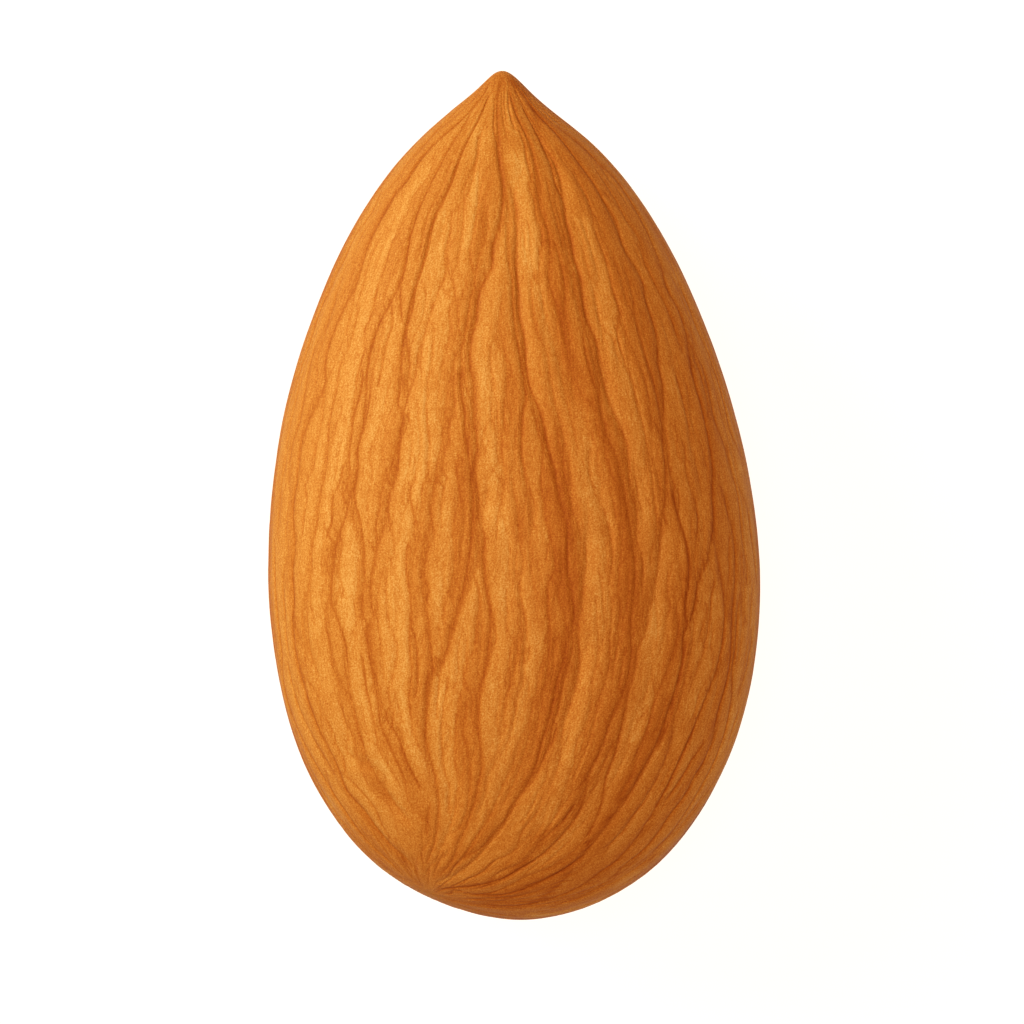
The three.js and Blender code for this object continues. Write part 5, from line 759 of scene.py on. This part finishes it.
# where a point is along and round the flow, for the fibres: a tube 36 mm round
AROUND = 36 / (2 * np.pi)
flow = np.stack([AROUND * np.cos(T), AROUND * np.sin(T), 27.0 * S], -1).reshape(-1, 3)[order]
flow = np.vstack([flow, [0, 0, 0], [0, 0, 27.0]])
a = mesh.attributes.new("flow", "FLOAT_VECTOR", "POINT")
a.data.foreach_set("vector", flow.astype(np.float32).ravel())

# one flat map for each face, side by side, for anything that needs a texture of it
direction = flow_to_direction(S, T).reshape(-1, 3)[order]
direction = np.vstack([direction, [0, 1, 0], end_direction])
faces_up = np.zeros(len(starts), bool)
faces_up[: len(quads)] = direction[quads].mean(1)[:, 2] >= 0
faces_up[len(quads):] = direction[tris].mean(1)[:, 2] >= 0
up = np.concatenate([np.repeat(faces_up[: len(quads)], 4), np.repeat(faces_up[len(quads):], 3)])
d = direction[loops]
z = np.where(up, d[:, 2], -d[:, 2])
k = 1 / np.sqrt(1 + np.maximum(z, -0.9))
u = 0.25 + 0.5 * (~up) + 0.235 * d[:, 0] * k
v = 0.5 + 0.47 * d[:, 1] * k
layer = mesh.uv_layers.new(name="OFBake")
layer.uv.foreach_set("vector", np.stack([u, v], 1).astype(np.float32).ravel())

kernel = bpy.data.objects.new("almond_kernel_skin", mesh)
bpy.context.scene.collection.objects.link(kernel)


# ---------------------------------------------------------------- the skin's material
mat = bpy.data.materials.new("almond_skin")
mat.use_nodes = True
nt = mat.node_tree
nt.nodes.clear()


def node(kind, x=0, y=0, **settings):
    n = nt.nodes.new(kind)
    n.location = (x, y)
    for k, v in settings.items():
        setattr(n, k, v)
    return n


def put(socket, v):
    if isinstance(v, bpy.types.NodeSocket):
        nt.links.new(v, socket)
    else:
        socket.default_value = v


def math(op, a, b=0.0, c=None, clamp=False):
    n = node("ShaderNodeMath", operation=op, use_clamp=clamp)
    put(n.inputs[0], a)
    put(n.inputs[1], b)
    if c is not None:
        put(n.inputs[2], c)
    return n.outputs[0]


def remap(v, a, b, c, d, smooth=True):
    n = node("ShaderNodeMapRange", interpolation_type="SMOOTHSTEP" if smooth else "LINEAR")
    for k, x in zip(("Value", "From Min", "From Max", "To Min", "To Max"), (v, a, b, c, d)):
        put(n.inputs[k], x)
    return n.outputs["Result"]


def field(name):
    n = node("ShaderNodeAttribute", attribute_name=name, attribute_type="GEOMETRY")
    return n.outputs["Fac"]


def noise(vector, scale, detail=2.0, rough=0.5, stretch=(1, 1, 1), shift=(0, 0, 0)):
    m = node("ShaderNodeMapping")
    put(m.inputs["Vector"], vector)
    m.inputs["Scale"].default_value = stretch
    m.inputs["Location"].default_value = shift
    n = node("ShaderNodeTexNoise", noise_dimensions="3D")
    put(n.inputs["Vector"], m.outputs[0])
    n.inputs["Scale"].default_value = scale
    n.inputs["Detail"].default_value = detail
    n.inputs["Roughness"].default_value = rough
    return math("SUBTRACT", n.outputs["Fac"], 0.5)


flow_at = node("ShaderNodeAttribute", attribute_name="flow", attribute_type="GEOMETRY").outputs["Vector"]
place = node("ShaderNodeTexCoord").outputs["Object"]

stain_and_shade_v, line_v, aside_v, crease_tint_and_shade_v, girth_v = (
    field(k) for k in ("stain_and_shade", "line", "aside", "crease_tint_and_shade", "girth")
)

# fibres wander a little from the flow
wander = node("ShaderNodeTexNoise", noise_dimensions="3D")
put(wander.inputs["Vector"], flow_at)
wander.inputs["Scale"].default_value = 2.6
wander.inputs["Detail"].default_value = 1.0
shift = node("ShaderNodeVectorMath", operation="MULTIPLY_ADD")
put(shift.inputs[0], wander.outputs["Color"])
shift.inputs[1].default_value = (WANDER, WANDER, WANDER)
put(shift.inputs[2], flow_at)
fibre_at = shift.outputs["Vector"]
# fibres: three widths, so that they keep their size where the kernel narrows
f_wide = noise(fibre_at, 17.0, 1.5, 0.6, (1, 1, 0.3))
f_mid = noise(fibre_at, 10.0, 1.5, 0.6, (1, 1, 0.36), (3, 1, 4))
f_thin = noise(fibre_at, 5.0, 1.5, 0.6, (1, 1, 0.5), (7, 2, 1))
g_wide = remap(girth_v, 0.45, 0.75, 0, 1)
g_thin = remap(girth_v, 0.18, 0.4, 1, 0)
g_mid = math("SUBTRACT", math("SUBTRACT", 1.0, g_wide), g_thin)
fibres = math("ADD", math("ADD", math("MULTIPLY", f_wide, g_wide), math("MULTIPLY", f_mid, g_mid)), math("MULTIPLY", f_thin, g_thin))
grain = noise(place, 24000.0, 1.0, 0.7)
speck = noise(place, 7000.0, 2.0, 0.6, (1, 1, 1), (5, 5, 5))
patch = noise(flow_at, 1.0, 3.0, 0.6, (1, 1, 0.3), (2, 9, 3))

# crease core and halo: darker skin in and beside each vein crease, the veins' own colour with painted shade
core = math("MULTIPLY", remap(math("ABSOLUTE", aside_v), 0.0, CREASE_CORE, 1, 0), remap(line_v, 0.08, 0.3, 0, 1))
crease_v = math("MULTIPLY", core, crease_tint_and_shade_v)
halo_v = math("MULTIPLY", remap(line_v, 0.0, 0.8, 0, 1), crease_tint_and_shade_v)

# tone starts from the skin's stains together with the painted shade and light added to them
tone = stain_and_shade_v
for k, v in ((-CREASE_TONE, crease_v), (-HALO_TONE, halo_v), (FIBRE_TONE, fibres), (GRAIN_TONE, grain), (SPECK_TONE, speck), (PATCH_TONE, patch)):
    tone = math("ADD", tone, math("MULTIPLY", v, k))

ramp = node("ShaderNodeValToRGB")
ramp.color_ramp.interpolation = "LINEAR"
put(ramp.inputs[0], remap(tone, TONE_LOW, TONE_HIGH, 0, 1, smooth=False))
stops = np.linspace(0, 1, 9)
elements = ramp.color_ramp.elements
while len(elements) < len(stops):
    elements.new(0.5)
for e, p in zip(elements, stops):
    e.position = float(p)
for e, p in zip(elements, stops):
    tau = TONE_LOW + (TONE_HIGH - TONE_LOW) * p
    ends, share = (HUE_HIGH, (tau / TONE_HIGH) ** 2) if tau > 0 else (HUE_LOW, (tau / TONE_LOW) ** 2)
    e.color = tuple(float(b * np.exp(tau * k) * m**share) for b, k, m in zip(SKIN, HUE, ends)) + (1.0,)

bsdf = node("ShaderNodeBsdfPrincipled")
nt.links.new(ramp.outputs["Color"], bsdf.inputs["Base Color"])
put(bsdf.inputs["Roughness"], math("ADD", ROUGH, math("ADD", math("MULTIPLY", grain, 0.25), math("MULTIPLY", patch, 0.15)), clamp=True))
bsdf.inputs["Specular IOR Level"].default_value = SPECULAR
bsdf.inputs["Sheen Weight"].default_value = SHEEN
bsdf.inputs["Sheen Roughness"].default_value = 0.5

height = math("ADD", math("MULTIPLY", fibres, 1.0), math("ADD", math("MULTIPLY", grain, 0.3), math("MULTIPLY", speck, 0.3)))
height = math("SUBTRACT", height, math("MULTIPLY", crease_v, 2.0))
bump = node("ShaderNodeBump")
bump.inputs["Strength"].default_value = BUMP
bump.inputs["Distance"].default_value = 0.02 * MM
nt.links.new(height, bump.inputs["Height"])
nt.links.new(bump.outputs["Normal"], bsdf.inputs["Normal"])
out = node("ShaderNodeOutputMaterial")
nt.links.new(bsdf.outputs[0], out.inputs["Surface"])
mesh.materials.append(mat)

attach(kernel, "root")
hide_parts("almond_kernel")

# ---------------------------------------------------------------- floor, lights, camera
floor_mesh = bpy.data.meshes.new("floor")
floor_mesh.from_pydata([(-2, -2, 0), (2, -2, 0), (2, 2, 0), (-2, 2, 0)], [], [(0, 1, 2, 3)])
floor = bpy.data.objects.new("floor", floor_mesh)
bpy.context.scene.collection.objects.link(floor)
fm = bpy.data.materials.new("floor")
fm.use_nodes = True
nt = fm.node_tree
nt.nodes.clear()
dif = node("ShaderNodeBsdfDiffuse")
dif.inputs["Color"].default_value = FLOOR_COLOUR
glow = node("ShaderNodeEmission")
glow.inputs["Color"].default_value = GLOW_COLOUR
glow.inputs["Strength"].default_value = GLOW
add = node("ShaderNodeAddShader")
nt.links.new(dif.outputs[0], add.inputs[0])
nt.links.new(glow.outputs[0], add.inputs[1])
out = node("ShaderNodeOutputMaterial")
nt.links.new(add.outputs[0], out.inputs["Surface"])
floor_mesh.materials.append(fm)

from mathutils import Vector


def area(name, towards, distance, size, power, colour):
    """A soft lamp, that far along a direction from the kernel."""
    data = bpy.data.lights.new(name, "AREA")
    data.shape, data.size, data.energy, data.color = "DISK", size, power, colour
    o = bpy.data.objects.new(name, data)
    v = Vector(towards).normalized()
    o.location = v * distance + Vector((0, 0, 0.004))
    o.rotation_euler = v.to_track_quat("Z", "Y").to_euler()
    o.visible_camera = False
    bpy.context.scene.collection.objects.link(o)
    return o


for args in LAMPS:
    area(*args)

world = bpy.data.worlds.new("studio")
bpy.context.scene.world = world
world.use_nodes = True
bg = world.node_tree.nodes["Background"]
bg.inputs["Color"].default_value = WORLD_COLOUR
bg.inputs["Strength"].default_value = WORLD

view = bpy.context.scene.view_settings
view.view_transform, view.look, view.exposure, view.gamma = "Standard", "None", 0.0, 1.0

FRAME_WIDTH = 29.567 * MM  # of the picture, at the height of the kernel's rim
LENS, SENSOR = 400.0, 36.0
cam_data = bpy.data.cameras.new("camera")
cam_data.lens, cam_data.sensor_width = LENS, SENSOR
cam_data.clip_start, cam_data.clip_end = 0.01, 10.0
cam = bpy.data.objects.new("camera", cam_data)
cam.location = (-0.0592 * MM, -0.4764 * MM, RIM * MM + FRAME_WIDTH * LENS / SENSOR)
cam.rotation_euler = (0, 0, 0)
bpy.context.scene.collection.objects.link(cam)
bpy.context.scene.camera = cam

bpy.context.view_layer.update()
